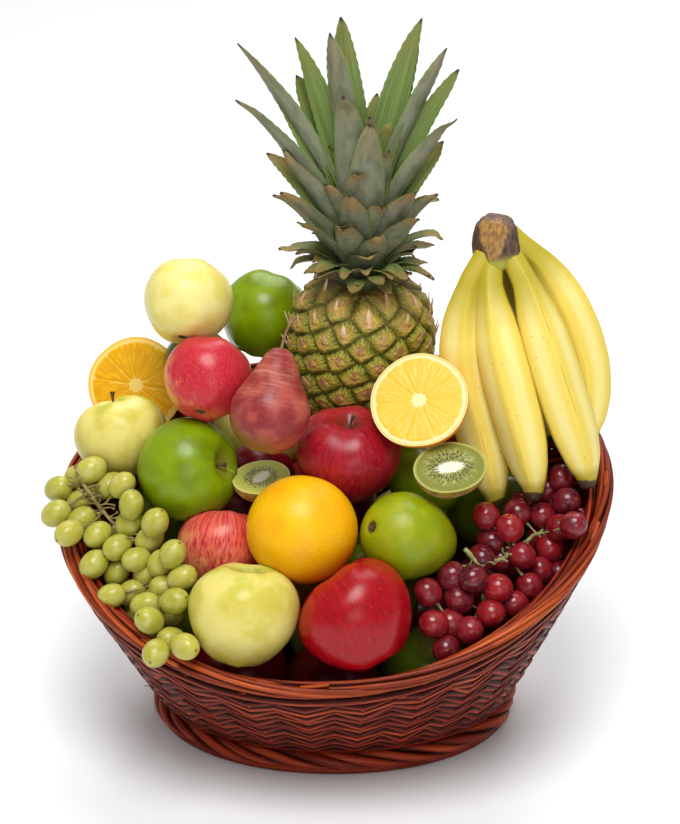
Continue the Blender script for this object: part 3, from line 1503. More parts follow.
@dataclass
class Basket:
    """The oval basket: foot, woven wall and rolled border, all of stained rods."""

    rim_half_length: float = 0.210
    rim_half_depth: float = 0.165
    oval_power: float = 2.1
    rim_front: float = 0.112
    rim_back: float = 0.220
    rim_left: float = 0.177
    rim_right: float = 0.203
    rim_radius: float = 0.0068
    foot_half_length: float = 0.142
    foot_half_depth: float = 0.107
    foot_height: float = 0.0205
    foot_width: float = 0.015
    stakes: int = 52
    row_pitch: float = 0.0064
    rim_rows: int = 4
    over: float = 0.0007
    droop: float = 0.0060
    cut_ends: tuple[float, ...] = (206, 232, 268, 310, 341, 357, 25, 70, 118, 160)
    splinters: tuple[tuple[float, float], ...] = (
        (196, 35), (286, 37), (284, 104), (289, 88), (240, 60), (318, 70), (20, 60), (95, 90), (150, 50))
    draw: random.Random = field(default_factory=lambda: random.Random(11))

    def oval(self, angle: Rows, length: Rows | float, depth: Rows | float) -> Rows:
        """Return x and y on the basket's oval, one row for each angle."""
        power = 2 / self.oval_power
        c = np.cos(angle)
        s = np.sin(angle)
        x = length * np.sign(c) * np.abs(c) ** power
        y = depth * np.sign(s) * np.abs(s) ** power
        return np.stack([x, y], axis=1)

    def rim_height(self, angle: Rows) -> Rows:
        """Return the height of the border's middle line: low at the front, high at the back."""
        middle = (self.rim_front + self.rim_back + self.rim_left + self.rim_right) / 4
        front_to_back = (self.rim_back - self.rim_front) / 2
        sides = ((self.rim_left + self.rim_right) - (self.rim_front + self.rim_back)) / 4
        left_to_right = (self.rim_right - self.rim_left) / 2
        height = middle + front_to_back * np.sin(angle) + sides * np.cos(2 * angle)
        return height + left_to_right * np.cos(angle)

    @property
    def base(self) -> float:
        """The height at which the wall starts."""
        return self.foot_height + 0.0003

    def top(self, angle: Rows) -> Rows:
        """Return the height at which the wall meets the border."""
        return self.rim_height(angle) - self.rim_radius * 1.15 - 0.0003

    def on_wall(self, angle: Rows, height: Rows, offset: Rows) -> Rows:
        """Return places on the wall.

        Args:
            angle: the angle round the basket.
            height: the height of each place.
            offset: how far outside the wall's middle it lies.

        Returns:
            One row for each place.
        """
        share = np.clip((height - self.base) / (self.top(angle) - self.base), 0.0, 1.0)
        flare = share**0.92
        foot_length = self.foot_half_length - self.foot_width / 2
        foot_depth = self.foot_half_depth - self.foot_width / 2
        length = foot_length + (self.rim_half_length - self.rim_radius - foot_length) * flare + offset
        depth = foot_depth + (self.rim_half_depth - self.rim_radius - foot_depth) * flare + offset
        flat = self.oval(angle, length, depth)
        return np.column_stack([flat[:, 0] + SIDE_SHIFT, flat[:, 1], height])

    def spread(self, count: int) -> tuple[Rows, Rows]:
        """Return ways round the basket at even distances, as shares of a lap in radians, and their angles."""
        fine = np.linspace(0.0, 2 * math.pi, 1441)
        flat = self.oval(fine, self.rim_half_length, self.rim_half_depth)
        length = distances(flat)
        way = np.linspace(0.0, 2 * math.pi, count, endpoint=False)
        return way, np.interp(way, length / length[-1] * 2 * math.pi, fine)

    def weaver(self, way: Rows, angle: Rows, height: Rows, phase: int, closed: bool) -> Rod:
        """Return one weaver, over one stake and under the next.

        Args:
            way: how far round the basket each station lies.
            angle: the angle of each station.
            height: the height of each station.
            phase: its row's number, which says over which stakes it goes.
            closed: whether it runs all the way round.

        Returns:
            The weaver.
        """
        wave = np.cos(self.stakes / 2 * way) * (1 if phase % 2 else -1)
        zigzag = np.arcsin(0.999 * np.cos(self.stakes / 2 * way)) * 2 / math.pi
        end = np.ones(len(angle))
        if not closed:
            station = np.arange(len(angle))
            end = ease(station, 0.0, 6.0) * ease(len(angle) - 1.0 - station, 0.0, 6.0)
        flat = np.zeros(len(angle))
        half_row = self.row_pitch / 2
        rise = self.on_wall(angle, height + half_row, flat) - self.on_wall(angle, height - half_row, flat)
        near_rim = 0.20 + 0.80 * ease(self.top(angle) - height, 0.0, 3.0 * self.row_pitch)
        near_foot = 0.30 + 0.70 * ease(height - self.base, 0.0, 3.0 * self.row_pitch)
        route = self.on_wall(angle, height - self.droop * near_rim * near_foot * zigzag * end,
                             self.over * wave * end - 0.0028 * (1 - end))
        run = unit(np.gradient(route, axis=0))
        apart = np.linalg.norm(rise - run * np.sum(rise * run, axis=1)[:, None], axis=1)
        size = self.draw.uniform(0.95, 1.08) * (1 + 0.05 * np.sin(way * 7 + phase)) * (0.45 + 0.55 * end)
        return Rod(route, 0.0027 * size, 0.56 * apart * size, self.draw.random(),
                   0.70 + 0.30 * ease(zigzag * end, -0.8, 0.6), unit(rise), closed, gaps=0.96)

    def wall_rows(self) -> list[Rod]:
        """Return the weavers: full rows at the foot and the border, and part rows between them."""
        per_stake = 5
        way, angle = self.spread(self.stakes * per_stake)
        rods = []
        top = self.top(angle)
        for row in range(self.rim_rows):
            rods.append(self.weaver(way, angle, top - self.row_pitch * (row + 0.5), row, True))
        lowest = top - self.row_pitch * self.rim_rows
        row = 0
        height = self.base + self.row_pitch * 0.5
        while height < lowest.max():
            clear = lowest - height > -0.8 * self.row_pitch
            level = np.full(len(angle), height)
            if clear.all():
                rods.append(self.weaver(way, angle, level, row, True))
            elif clear.sum() > 3 * per_stake:
                first = int(np.argmax(clear & ~np.roll(clear, 1)))
                order = np.roll(np.arange(len(angle)), -first)[: int(clear.sum())]
                part_way = np.unwrap(way[order])
                part_angle = np.unwrap(angle[order])
                rods.append(self.weaver(part_way, part_angle, level[order], row, False))
            row += 1
            height += self.row_pitch
        return rods

    def loose_fibres(self) -> list[Rod]:
        """Return the thin splinters that stand off the wall."""
        rods = []
        for degrees, height in self.splinters:
            angle = math.radians(degrees) + np.array((0.0, 0.02, 0.05)) * self.draw.choice((-1, 1))
            knots = self.on_wall(angle, height * MM + np.array((0.0, 0.001, 0.004)),
                                 np.array((0.002, 0.0055, 0.0080)))
            thin = np.linspace(0.0006, 0.0002, 8)
            rods.append(Rod(smooth_route(knots, 8), thin, thin, 0.9))
        return rods

    def stubs(self) -> list[Rod]:
        """Return the cut ends of rods that stand up out of the border."""
        rods = []
        for degrees in self.cut_ends:
            angle = math.radians(degrees) + np.linspace(-0.07, 0.02, 8)
            rise = np.linspace(0.0030, 0.0066, 8)[:, None] * np.array((0.0, -0.35, 0.94))
            size = self.draw.uniform(0.0012, 0.0017)
            rods.append(Rod(self.line(self.rim_radius, 0.0)(angle) + rise, size, size, 0.65))
        return rods

    def build_wall(self) -> None:
        """Weave the wall on its stakes."""
        rods = self.wall_rows() + self.loose_fibres()
        finished_rods("basket_weave", rods, 12, Wicker(), "basket", ["basket_wall"])
        rods = []
        share = np.linspace(0, 1, 20)
        for where in self.spread(self.stakes)[1]:
            angle = np.full(20, where)
            height = self.base + (self.top(angle) - self.base) * share
            route = self.on_wall(angle, height, -0.0016 * ease(share, 0.80, 1.0))
            outward = np.array((math.cos(where), math.sin(where), 0.0))
            rods.append(Rod(route, 0.0034, 0.0016, self.draw.random(), 0.45, outward))
        finished_rods("basket_stakes", rods, 8, Wicker("stake_wicker"), "basket")

    def build_floor(self) -> None:
        """Weave the floor, in ovals from the middle to the wall."""
        rods = []
        angle = np.linspace(0, 2 * math.pi, 96, endpoint=False)
        reach = 0.006
        row = 0
        while reach < self.foot_half_depth - self.foot_width:
            flat = self.oval(angle, reach + 0.035, reach)
            wave = 0.0011 * np.cos(16 * angle + row * math.pi)
            route = np.column_stack([flat[:, 0] + SIDE_SHIFT, flat[:, 1], self.base + 0.0028 + wave])
            rods.append(Rod(route, 0.0021, 0.0021 * 0.75, self.draw.random(), 0.7, np.array(UP), True))
            reach += 0.0042
            row += 1
        finished_rods("basket_floor", rods, 6, Wicker("floor_wicker"), "basket")

    def bundle(
        self,
        count: int,
        turns: float,
        centre: Callable[[Rows], Rows],
        spread: float,
        radius: float,
        lengths: int,
        stations: int,
    ) -> list[Rod]:
        """Return rods that wind slowly round one another along a closed line.

        Args:
            count: how many lie side by side.
            turns: how often they wind round in one lap.
            centre: the line's places at given angles.
            spread: how far each rod's middle lies from the line.
            radius: a rod's radius.
            lengths: how many rods follow one another in one lap.
            stations: points in one lap.

        Returns:
            The rods.
        """
        rods = []
        for k in range(count):
            for part in range(lengths):
                begin = (part + self.draw.uniform(-0.2, 0.2) + k * 0.37) / lengths * 2 * math.pi
                run = 2 * math.pi / lengths * self.draw.uniform(1.08, 1.22)
                points = int(stations / lengths * run / (2 * math.pi / lengths))
                angle = np.linspace(begin, begin + run, points)
                middle = centre(angle)
                ahead = unit(np.gradient(middle, axis=0))
                side = unit(np.cross(ahead, (0.0, 0.0, 1.0)))
                rise = np.cross(side, ahead)
                twist = turns * angle + 2 * math.pi * k / count + 0.25 * np.sin(3 * angle + k)
                end = np.minimum(ease(angle, begin, begin + 0.10), ease(begin + run - angle, 0.0, 0.10))
                size = radius * self.draw.uniform(0.86, 1.08)
                thick = size * (0.75 + 0.25 * end)
                far = spread * (0.35 + 0.65 * end) * (1 + 0.22 * np.sin(4 * angle + k * 2 + part))
                far = np.minimum(far, spread + radius - size)
                route = middle + side * (far * np.cos(twist))[:, None] + rise * (far * np.sin(twist))[:, None]
                rods.append(Rod(route, thick, thick, self.draw.random(), heart=middle))
        return rods

    def line(self, inset: float, drop: float) -> Callable[[Rows], Rows]:
        """Return the border's line, set in from its outer edge and down from its middle."""
        def at(angle: Rows) -> Rows:
            """Return the line's places at the angles."""
            flat = self.oval(angle, self.rim_half_length - inset, self.rim_half_depth - inset)
            return np.column_stack([flat[:, 0] + SIDE_SHIFT, flat[:, 1], self.rim_height(angle) - drop])
        return at

    def build_border(self) -> None:
        """Roll the border: an outer bundle of rods and a thinner one inside it."""
        rods = self.bundle(7, -3.0, self.line(self.rim_radius, 0.0), 0.0042, 0.0022, 3, 330) + self.stubs()
        angle = np.linspace(0, 2 * math.pi, 200, endpoint=False)
        rods.append(Rod(self.line(self.rim_radius, 0.0)(angle), 0.0034, 0.0034, 0.2, 0.45, closed=True))
        finish = Wicker("border_wicker", middle=(0.27, 0.030, 0.008), bright=(0.74, 0.150, 0.026),
                        lift=0.12, roughness=0.30)
        finished_rods("basket_border", rods, 8, finish, "basket", ["basket_rim"])
        inset = 2 * self.rim_radius + 0.0036
        rods = self.bundle(3, 4.0, self.line(inset, 0.004), 0.0016, 0.0017, 4, 330)
        finish = Wicker("inner_border_wicker", lift=0.05, roughness=0.30)
        finished_rods("basket_border_inner", rods, 8, finish, "basket", ["basket_rim_inner"])

    def build_foot(self) -> None:
        """Twist the foot's thick rods like loose rope, over one ring that stands on the table."""
        def middle(height: float) -> Callable[[Rows], Rows]:
            """Return the foot's line at a height."""
            def at(angle: Rows) -> Rows:
                """Return the line's places at the angles."""
                inset = self.foot_width / 2
                flat = self.oval(angle, self.foot_half_length - inset, self.foot_half_depth - inset)
                return np.column_stack([flat[:, 0] + SIDE_SHIFT, flat[:, 1], np.full(len(angle), height)])
            return at
        rods = self.bundle(4, -7.0, middle(0.0116), 0.0043, 0.0040, 2, 300)
        angle = np.linspace(0, 2 * math.pi, 160, endpoint=False)
        rods.append(Rod(middle(0.0036)(angle), 0.0040, 0.0040 * 0.9, 0.3, 0.8, np.array(UP), True))
        finish = Wicker("foot_wicker", middle=(0.25, 0.021, 0.006), bright=(0.56, 0.080, 0.015),
                        lift=0.04, roughness=0.24)
        finished_rods("basket_foot_rope", rods, 12, finish, "basket", ["basket_foot"])

    def build(self) -> None:
        """Make the whole basket."""
        self.build_foot()
        self.build_wall()
        self.build_floor()
        self.build_border()


@dataclass
class GrapeBunch:
    """A bunch of grapes on its stalk, each grape on its own twig."""

    node: str
    places: Sequence[Triple]
    stalks: Sequence[Sequence[Triple]]
    radius: float
    half_length: float
    stalk_radius: float
    skin: GrapeSkin
    stem: Woody
    slot: str
    seed: int
    behind: float = 8.0
    spurs: int = 0

    def fillers(self) -> list[Rows]:
        """Return places for the grapes behind the front ones: between close neighbours, further back."""
        spots = [np.array(spot, dtype=float) for spot in self.places]
        added: list[Rows] = []
        for number, one in enumerate(spots):
            for other in spots[number + 1:]:
                if not 15.0 < np.linalg.norm(one - other) < 34.0:
                    continue
                middle = (one + other) / 2 + (0.0, self.behind, -1.5)
                if all(np.linalg.norm(middle - near) > 14.5 for near in spots + added):
                    added.append(middle)
        return added

    def bare_twigs(self, route: Rows, draw: random.Random) -> list[Rod]:
        """Return short twigs that lost their grapes, along the upper part of the stalk.

        Args:
            route: the stalk's line.
            draw: where the chances come from.

        Returns:
            The twigs.
        """
        rods = []
        for k in range(self.spurs):
            root = route[int(draw.uniform(0.05, 0.55) * len(route))]
            turn = draw.uniform(0.0, 2 * math.pi)
            way = np.array((math.cos(turn), 0.5 * math.sin(turn) - 0.5, draw.uniform(0.1, 0.9)))
            length = draw.uniform(0.007, 0.014)
            bend = np.array((draw.uniform(-1, 1), 0.0, draw.uniform(-1, 1))) * 0.002
            end = root + unit(way) * length
            twig = smooth_route(np.array([root, (root + end) / 2 + bend, end]), 7)
            thick = np.array((1.0, 0.8, 0.7, 0.7, 0.75, 1.1, 1.5)) * 0.0007
            rods.append(Rod(twig, thick, thick, draw.random()))
        return rods

    def nearest(self, spot: Rows, routes: Sequence[Rows]) -> Rows:
        """Return the stalks' point that lies nearest to a grape."""
        every = np.vstack(routes)
        return every[np.argmin(np.linalg.norm(every - spot, axis=1))]

    def build(self) -> None:
        """Make the grapes, their twigs and the stalk."""
        draw = random.Random(self.seed)
        routes = [smooth_route(np.array([place(knot) for knot in stalk]), 60) for stalk in self.stalks]
        rods = []
        for route in routes:
            count = len(route)
            wander = np.column_stack([np.sin(np.arange(count) * 0.9 + k * 2) * 0.0004 for k in range(3)])
            knob = 1 + 0.22 * np.maximum(0, np.sin(np.arange(count) * 0.55)) ** 6
            thin = self.stalk_radius * np.linspace(1.0, 0.55, count) * knob
            rods.append(Rod(route + wander, thin, thin, draw.random()))
        model = ball("grape", 28, 20)
        spots = points_of(model)
        spots[:, :2] *= (1 - 0.05 * spots[:, 2] ** 3)[:, None]
        dimple = 0.10 * np.exp(-(np.hypot(spots[:, 0], spots[:, 1]) / 0.22) ** 2)
        spots[:, 2] += np.where(spots[:, 2] < 0, dimple, 0.0)
        move_points(model, spots)
        turns = []
        tones = []
        for spot in (*self.places, *self.fillers()):
            centre = place(spot)
            root = Vector(self.nearest(np.array(centre), routes))
            way = (centre - root).normalized()
            size = draw.uniform(0.95, 1.03)
            turn = UP.rotation_difference(way).to_matrix().to_4x4()
            wide = self.radius * MM * size
            tall = self.half_length * MM * size
            sizes = Matrix.Diagonal((wide * draw.uniform(0.97, 1.03), wide, tall, 1.0))
            spin = Matrix.Rotation(draw.uniform(0, 6), 4, "Z")
            turns.append(Matrix.Translation(centre) @ turn @ spin @ sizes)
            tones.append(draw.random())
            end = centre - way * self.half_length * MM * size * 0.88
            if (end - root).length > 0.002:
                sag = Vector((draw.uniform(-1, 1), draw.uniform(-1, 1), draw.uniform(-1.5, 0))) * 0.0015
                knots = np.array([root, root.lerp(end, 0.5) + sag, end])
                twig = smooth_route(knots, 8)
                thick = np.array((1.0, 0.85, 0.75, 0.72, 0.75, 0.85, 1.25, 1.7)) * 0.00085
                rods.append(Rod(twig, thick, thick, draw.random()))
        rods.extend(self.bare_twigs(routes[0], draw))
        finished_rods(self.node + "_stems", rods, 7, self.stem, self.slot)
        grapes = copies_piece(self.node + "_bunch", model, turns, tones)
        shade(grapes, 80)
        hand_over(grapes, [self.skin.build()], self.slot, [self.node])


GREEN_GRAPES = GrapeBunch(
    "grapes_green",
    ((-207, -8, 193), (-207, -30, 184), (-194, -1, 199), (-191, -15, 186), (-181, -13, 212),
     (-167, -14, 199), (-157, -28, 207), (-149, -47, 201), (-195, -58, 183), (-188, -33, 180),
     (-170, -17, 157), (-175, -46, 175), (-168, -35, 153), (-160, -58, 171), (-152, -43, 183),
     (-145, -69, 167), (-136, -54, 176), (-131, -60, 193), (-161, -59, 150), (-127, -76, 168),
     (-117, -85, 181), (-110, -92, 165), (-149, -76, 143), (-137, -97, 145), (-115, -108, 155),
     (-133, -118, 145), (-127, -143, 133), (-106, -142, 138), (-185, -20, 171), (-161, -52, 131),
     (-147, -72, 122), (-136, -104, 124), (-120, -85, 129), (-177, -64, 160), (-163, -86, 146),
     (-117, -122, 131)),
    (((-193, -14, 216), (-184, -22, 200), (-172, -30, 186), (-158, -42, 176), (-143, -56, 172),
      (-131, -74, 160), (-127, -94, 152), (-126, -112, 138), (-122, -125, 134)),),
    9.5, 12.0, 0.0016,
    GrapeSkin("green_grape_finish", (0.51, 0.46, 0.070), (0.37, 0.365, 0.032), (0.64, 0.63, 0.32), 0.38,
              (1.0, 0.95, 0.25), low=0.30, high=0.48),
    Woody("green_grape_stem_finish", (0.10, 0.06, 0.02), (0.46, 0.38, 0.12), 0.6), "green_grape", 5, spurs=34)

RED_GRAPES = GrapeBunch(
    "grapes_red",
    ((112, -43, 189), (116, -49, 171), (129, -54, 185), (137, -24, 181), (156, -24, 179),
     (169, -9, 179), (173, -24, 191), (170, -6, 201), (167, -40, 178), (154, -20, 157), (161, -38, 159),
     (138, -61, 166), (153, -52, 148), (144, -70, 145), (119, -86, 153), (132, -84, 138),
     (86, -81, 160), (68, -92, 153), (91, -90, 146), (98, -71, 147), (108, -67, 167), (72, -107, 135),
     (81, -115, 119), (101, -89, 163), (114, -97, 138), (98, -107, 130), (175, -62, 192),
     (123, -50, 156), (168, -48, 142), (185, -22, 173), (160, -2, 190), (143, -5, 178)),
    (((95, -72, 178), (107, -76, 167), (121, -68, 166), (134, -54, 168), (147, -40, 170), (160, -26, 172),
      (168, -18, 186)),
     ((107, -76, 167), (110, -82, 150), (105, -90, 134), (92, -100, 126))),
    10.5, 11.4, 0.0018,
    GrapeSkin("red_grape_finish", (0.38, 0.012, 0.018), (0.055, 0.003, 0.010), (0.42, 0.16, 0.18), 0.16,
              (1.0, 0.12, 0.08)),
    Woody("red_grape_stem_finish", (0.20, 0.17, 0.05), (0.42, 0.44, 0.17), 0.6), "red_grape", 8, spurs=10)


@dataclass
class Bananas:
    """A hand of bananas: fingers in two rows under one woody top."""

    fingers: Sequence[Sequence[Triple]]
    profile: Sequence[tuple[float, float]] = (
        (0.0, 9.6), (0.07, 9.0), (0.13, 9.6), (0.19, 12.0), (0.26, 15.0), (0.36, 17.4), (0.5, 18.3),
        (0.66, 18.0), (0.78, 16.6), (0.87, 13.6), (0.925, 10.2), (0.955, 7.8), (0.970, 6.9),
        (0.985, 6.6), (0.994, 5.6), (1.0, 3.6))
    top: Sequence[Triple] = ((122, 51, 352), (120, 50, 366), (120, 50, 388))
    top_radii: Sequence[float] = (17, 18, 14)

    def section(self, around: Rows, along: Rows) -> Rows:
        """Return the soft five-sided section, rounder at both ends."""
        fifth = 2 * math.pi / 5
        local = (around % fifth) - fifth / 2
        five = (math.cos(fifth / 2) / np.cos(local)) ** 0.55
        strength = 1.0 - 0.85 * ease(np.abs(along - 0.5), 0.36, 0.47)
        return 1 + (five[None] / five.mean() - 1) * strength[:, None]

    def build_fingers(self) -> None:
        """Make the fingers, with ridges along them."""
        rods = []
        stations = 84
        where, sizes = zip(*self.profile)
        for number, finger in enumerate(self.fingers):
            knots = np.array([place(knot) for knot in finger])
            fine = smooth_route(knots, 400)
            length = distances(fine)
            share = np.linspace(0, 1, stations)
            route = np.column_stack([np.interp(share * length[-1], length, fine[:, k]) for k in range(3)])
            thick = np.interp(np.linspace(0, 1, 400), where, sizes)
            thick = np.convolve(np.pad(thick, 5, mode="edge"), np.full(11, 1 / 11), mode="valid")
            thick = np.interp(share, np.linspace(0, 1, 400), thick) * MM
            rods.append(Rod(route, thick, thick, 0.13 + number * 0.14))
        obj = rods_piece("banana_fingers", rods, 40, self.section)
        count = 40 * stations
        around = np.tile(np.linspace(0, 2 * math.pi, 40, endpoint=False), stations)
        fifth = 2 * math.pi / 5
        ridge = np.abs((around % fifth) - fifth / 2) / (fifth / 2)
        along = np.repeat(np.linspace(0, 1, stations), 40)
        own = np.vstack([np.column_stack([ridge, along, np.full(count, number * 0.17)])
                         for number in range(len(self.fingers))])
        note(obj, "own", own)
        note(obj, "out", points_of(obj) / 0.02)
        shade(obj, 60)
        hand_over(obj, [BananaPeel().build()], "banana_peel", ["banana_hand"])

    def build_top(self) -> None:
        """Make the woody top that joins the necks, with the facet where it was cut."""
        knots = np.array([place(knot) for knot in self.top])
        route = smooth_route(knots, 26)
        thick = smooth_route(np.array(self.top_radii)[:, None] * MM, 26)[:, 0]
        thick[-3:] *= np.array((0.97, 0.88, 0.70))
        thick[:4] *= np.array((0.75, 0.85, 0.93, 0.98))
        obj = rods_piece("banana_top", [Rod(route, thick * 1.10, thick * 0.90, 0.5)], 40)
        points = points_of(obj)
        middle = np.repeat(route, 40, axis=0)
        around = np.tile(np.linspace(0, 2 * math.pi, 40, endpoint=False), 26)
        along = np.repeat(np.linspace(0, 1, 26), 40)
        rough = 1 + 0.07 * np.sin(5 * around + 1) + 0.05 * np.sin(9 * around + 7 * along) * along
        points = middle + (points - middle) * rough[:, None]
        cut_way = unit(np.array((-0.42, -0.80, 0.42)))
        centre = np.array(place((110, 39, 372)))
        over = (points - centre) @ cut_way
        on_cut = over > -0.0006
        points -= np.maximum(over, 0.0)[:, None] * cut_way
        note(obj, "own", np.column_stack([on_cut.astype(float), along, around]))
        move_points(obj, points)
        shade(obj, 45)
        hand_over(obj, [BananaTop().build()], "banana_peel")

    def build(self) -> None:
        """Make the whole hand."""
        self.build_fingers()
        self.build_top()


BANANAS = Bananas((
    ((113, 45, 360), (101, 36, 341), (95, 26, 309), (98, 18, 271), (108, 8, 234), (117, -4, 203),
     (122, -12, 179)),
    ((117, 45, 361), (116, 30, 339), (122, 12, 307), (131, -2, 273), (141, -14, 237), (147, -24, 209),
     (148, -30, 195)),
    ((130, 45, 362), (141, 30, 343), (152, 14, 314), (165, 0, 276), (178, -12, 240), (186, -22, 216),
     (188, -28, 204)),
    ((129, 50, 374), (153, 50, 352), (174, 44, 318), (187, 36, 284), (191, 26, 254), (189, 14, 232),
     (184, 6, 220)),
    ((124, 60, 362), (124, 66, 335), (124, 68, 300), (124, 62, 262), (127, 50, 228), (130, 40, 200)),
    ((136, 62, 362), (150, 72, 335), (158, 76, 300), (164, 68, 262), (165, 56, 230), (164, 45, 205)),
))


@dataclass
class Pineapple:
    """The pineapple: a rind of spiralling eyes, and a crown of stiff leaves."""

    foot: Triple = (21, 80, 197)
    height: float = 0.128
    radius: float = 0.0565
    outline: Sequence[tuple[float, float]] = (
        (0.0, 0.34), (0.07, 0.56), (0.2, 0.76), (0.38, 0.93), (0.6, 1.0), (0.78, 0.97), (0.9, 0.86),
        (1.0, 0.56))
    eyes: int = 112
    eye_size: float = 0.0105
    golden: float = math.radians(137.508)

    def reach(self, share: Rows) -> Rows:
        """Return the body's radius at shares of its height."""
        where, size = zip(*self.outline)
        return self.radius * np.interp(share, where, size)

    def eye_places(self) -> tuple[Rows, Rows]:
        """Return the angle and the share of the height of every eye, on one golden spiral."""
        fine = np.linspace(0, 1, 400)
        area = np.concatenate([[0.0], np.cumsum((self.reach(fine)[1:] + self.reach(fine)[:-1]) / 2)])
        index = np.arange(self.eyes) + 0.5
        share = np.interp(index / self.eyes * area[-1], area, fine) + 0.009 * np.sin(index * 5.1)
        return (index * self.golden + 0.055 * np.sin(index * 7.3)) % (2 * math.pi), share

    def build_body(self) -> None:
        """Raise the eyes on a ball stretched to the body's outline, with grooves between them."""
        obj = ball("pineapple_rind", 220, 130)
        way, around = ball_angles(points_of(obj))
        around = around % (2 * math.pi)
        share = 1 - way / math.pi
        inner = np.clip((share - 0.05) / 0.90, 0, 1)
        fade = np.minimum(ease(share, 0.0, 0.05), ease(1 - share, 0.0, 0.05))
        reach = self.reach(inner) * np.sqrt(fade)
        high = inner * self.height
        angles, shares = self.eye_places()
        girth = self.reach(inner)
        apart = (around[:, None] - angles[None] + math.pi) % (2 * math.pi) - math.pi
        side = apart * girth[:, None]
        rise = (inner[:, None] - shares[None]) * self.height * 1.20
        far = np.sqrt((side * 0.95) ** 2 + rise**2)
        order = np.argsort(far, axis=1)[:, :2]
        rows = np.arange(len(far))
        first = far[rows, order[:, 0]]
        second = far[rows, order[:, 1]]
        edge = np.clip((second - first) / (self.eye_size * 1.5), 0, 1)
        dome = 0.0036 * ease(edge, 0.0, 0.45) + 0.0011 * ease(first, self.eye_size * 0.55, 0.0)
        dish = 0.0012 * np.exp(-((first / (self.eye_size * 0.55) - 0.62) ** 2) / 0.03)
        reach = np.maximum(0.0, reach - 0.0030 + (dome - dish) * np.sqrt(fade))
        own = np.stack([side[rows, order[:, 0]], rise[rows, order[:, 0]], np.zeros(len(far))], axis=1)
        note(obj, "own", own / self.eye_size)
        note(obj, "edge", edge)
        note(obj, "out", np.column_stack([np.cos(around), np.sin(around), inner]))
        points = np.column_stack([reach * np.cos(around), reach * np.sin(around), high])
        move_points(obj, points + np.array(place(self.foot)))
        shade(obj, 60)
        hand_over(obj, [Rind().build()], "pineapple_skin", ["pineapple_body"])

    def build_bracts(self) -> None:
        """Set a dry pointed flap on every eye, its tip turned up."""
        bpy.ops.object.select_all(action="DESELECT")
        bpy.ops.mesh.primitive_grid_add(x_subdivisions=6, y_subdivisions=8, size=2.0)
        model = bpy.context.active_object
        spots = points_of(model)
        across = spots[:, 0]
        along = (spots[:, 1] + 1) / 2
        half = 0.0035 * (1 - along) ** 0.95 * (0.6 + 0.8 * along) + 0.0002
        lift = 0.0012 * np.sin(along * 2.4) + 0.0034 * along**2
        bowl = -0.0012 * across**2 * (1 - along)
        move_points(model, np.column_stack([across * half, along * 0.0132 - 0.0045, lift + bowl]))
        only(model)
        solidify = model.modifiers.new("thickness", "SOLIDIFY")
        solidify.thickness = 0.0005
        bpy.ops.object.modifier_apply(modifier="thickness")
        draw = random.Random(21)
        angles, shares = self.eye_places()
        turns = []
        tones = []
        for angle, share in zip(angles, shares):
            reach = float(self.reach(np.array([share]))[0])
            slope = float(self.reach(np.array([min(1.0, share + 0.03)]))[0]
                          - self.reach(np.array([max(0.0, share - 0.03)]))[0]) / (0.06 * self.height)
            out = Vector((math.cos(angle), math.sin(angle), -slope)).normalized()
            side = UP.cross(out).normalized()
            basis = Matrix((side, out.cross(side), out)).transposed().to_4x4()
            away = Vector((reach * math.cos(angle), reach * math.sin(angle), share * self.height))
            spot = place(self.foot) + away
            size = draw.uniform(0.8, 1.1)
            turns.append(Matrix.Translation(spot + out * 0.0003) @ basis @ Matrix.Scale(size, 4))
            tones.append(draw.random())
        obj = copies_piece("pineapple_bracts", model, turns, tones)
        shade(obj, 60)
        hand_over(obj, [Bract().build()], "pineapple_skin")

    def build(self) -> None:
        """Make the rind and its dry flaps."""
        self.build_body()
        self.build_bracts()


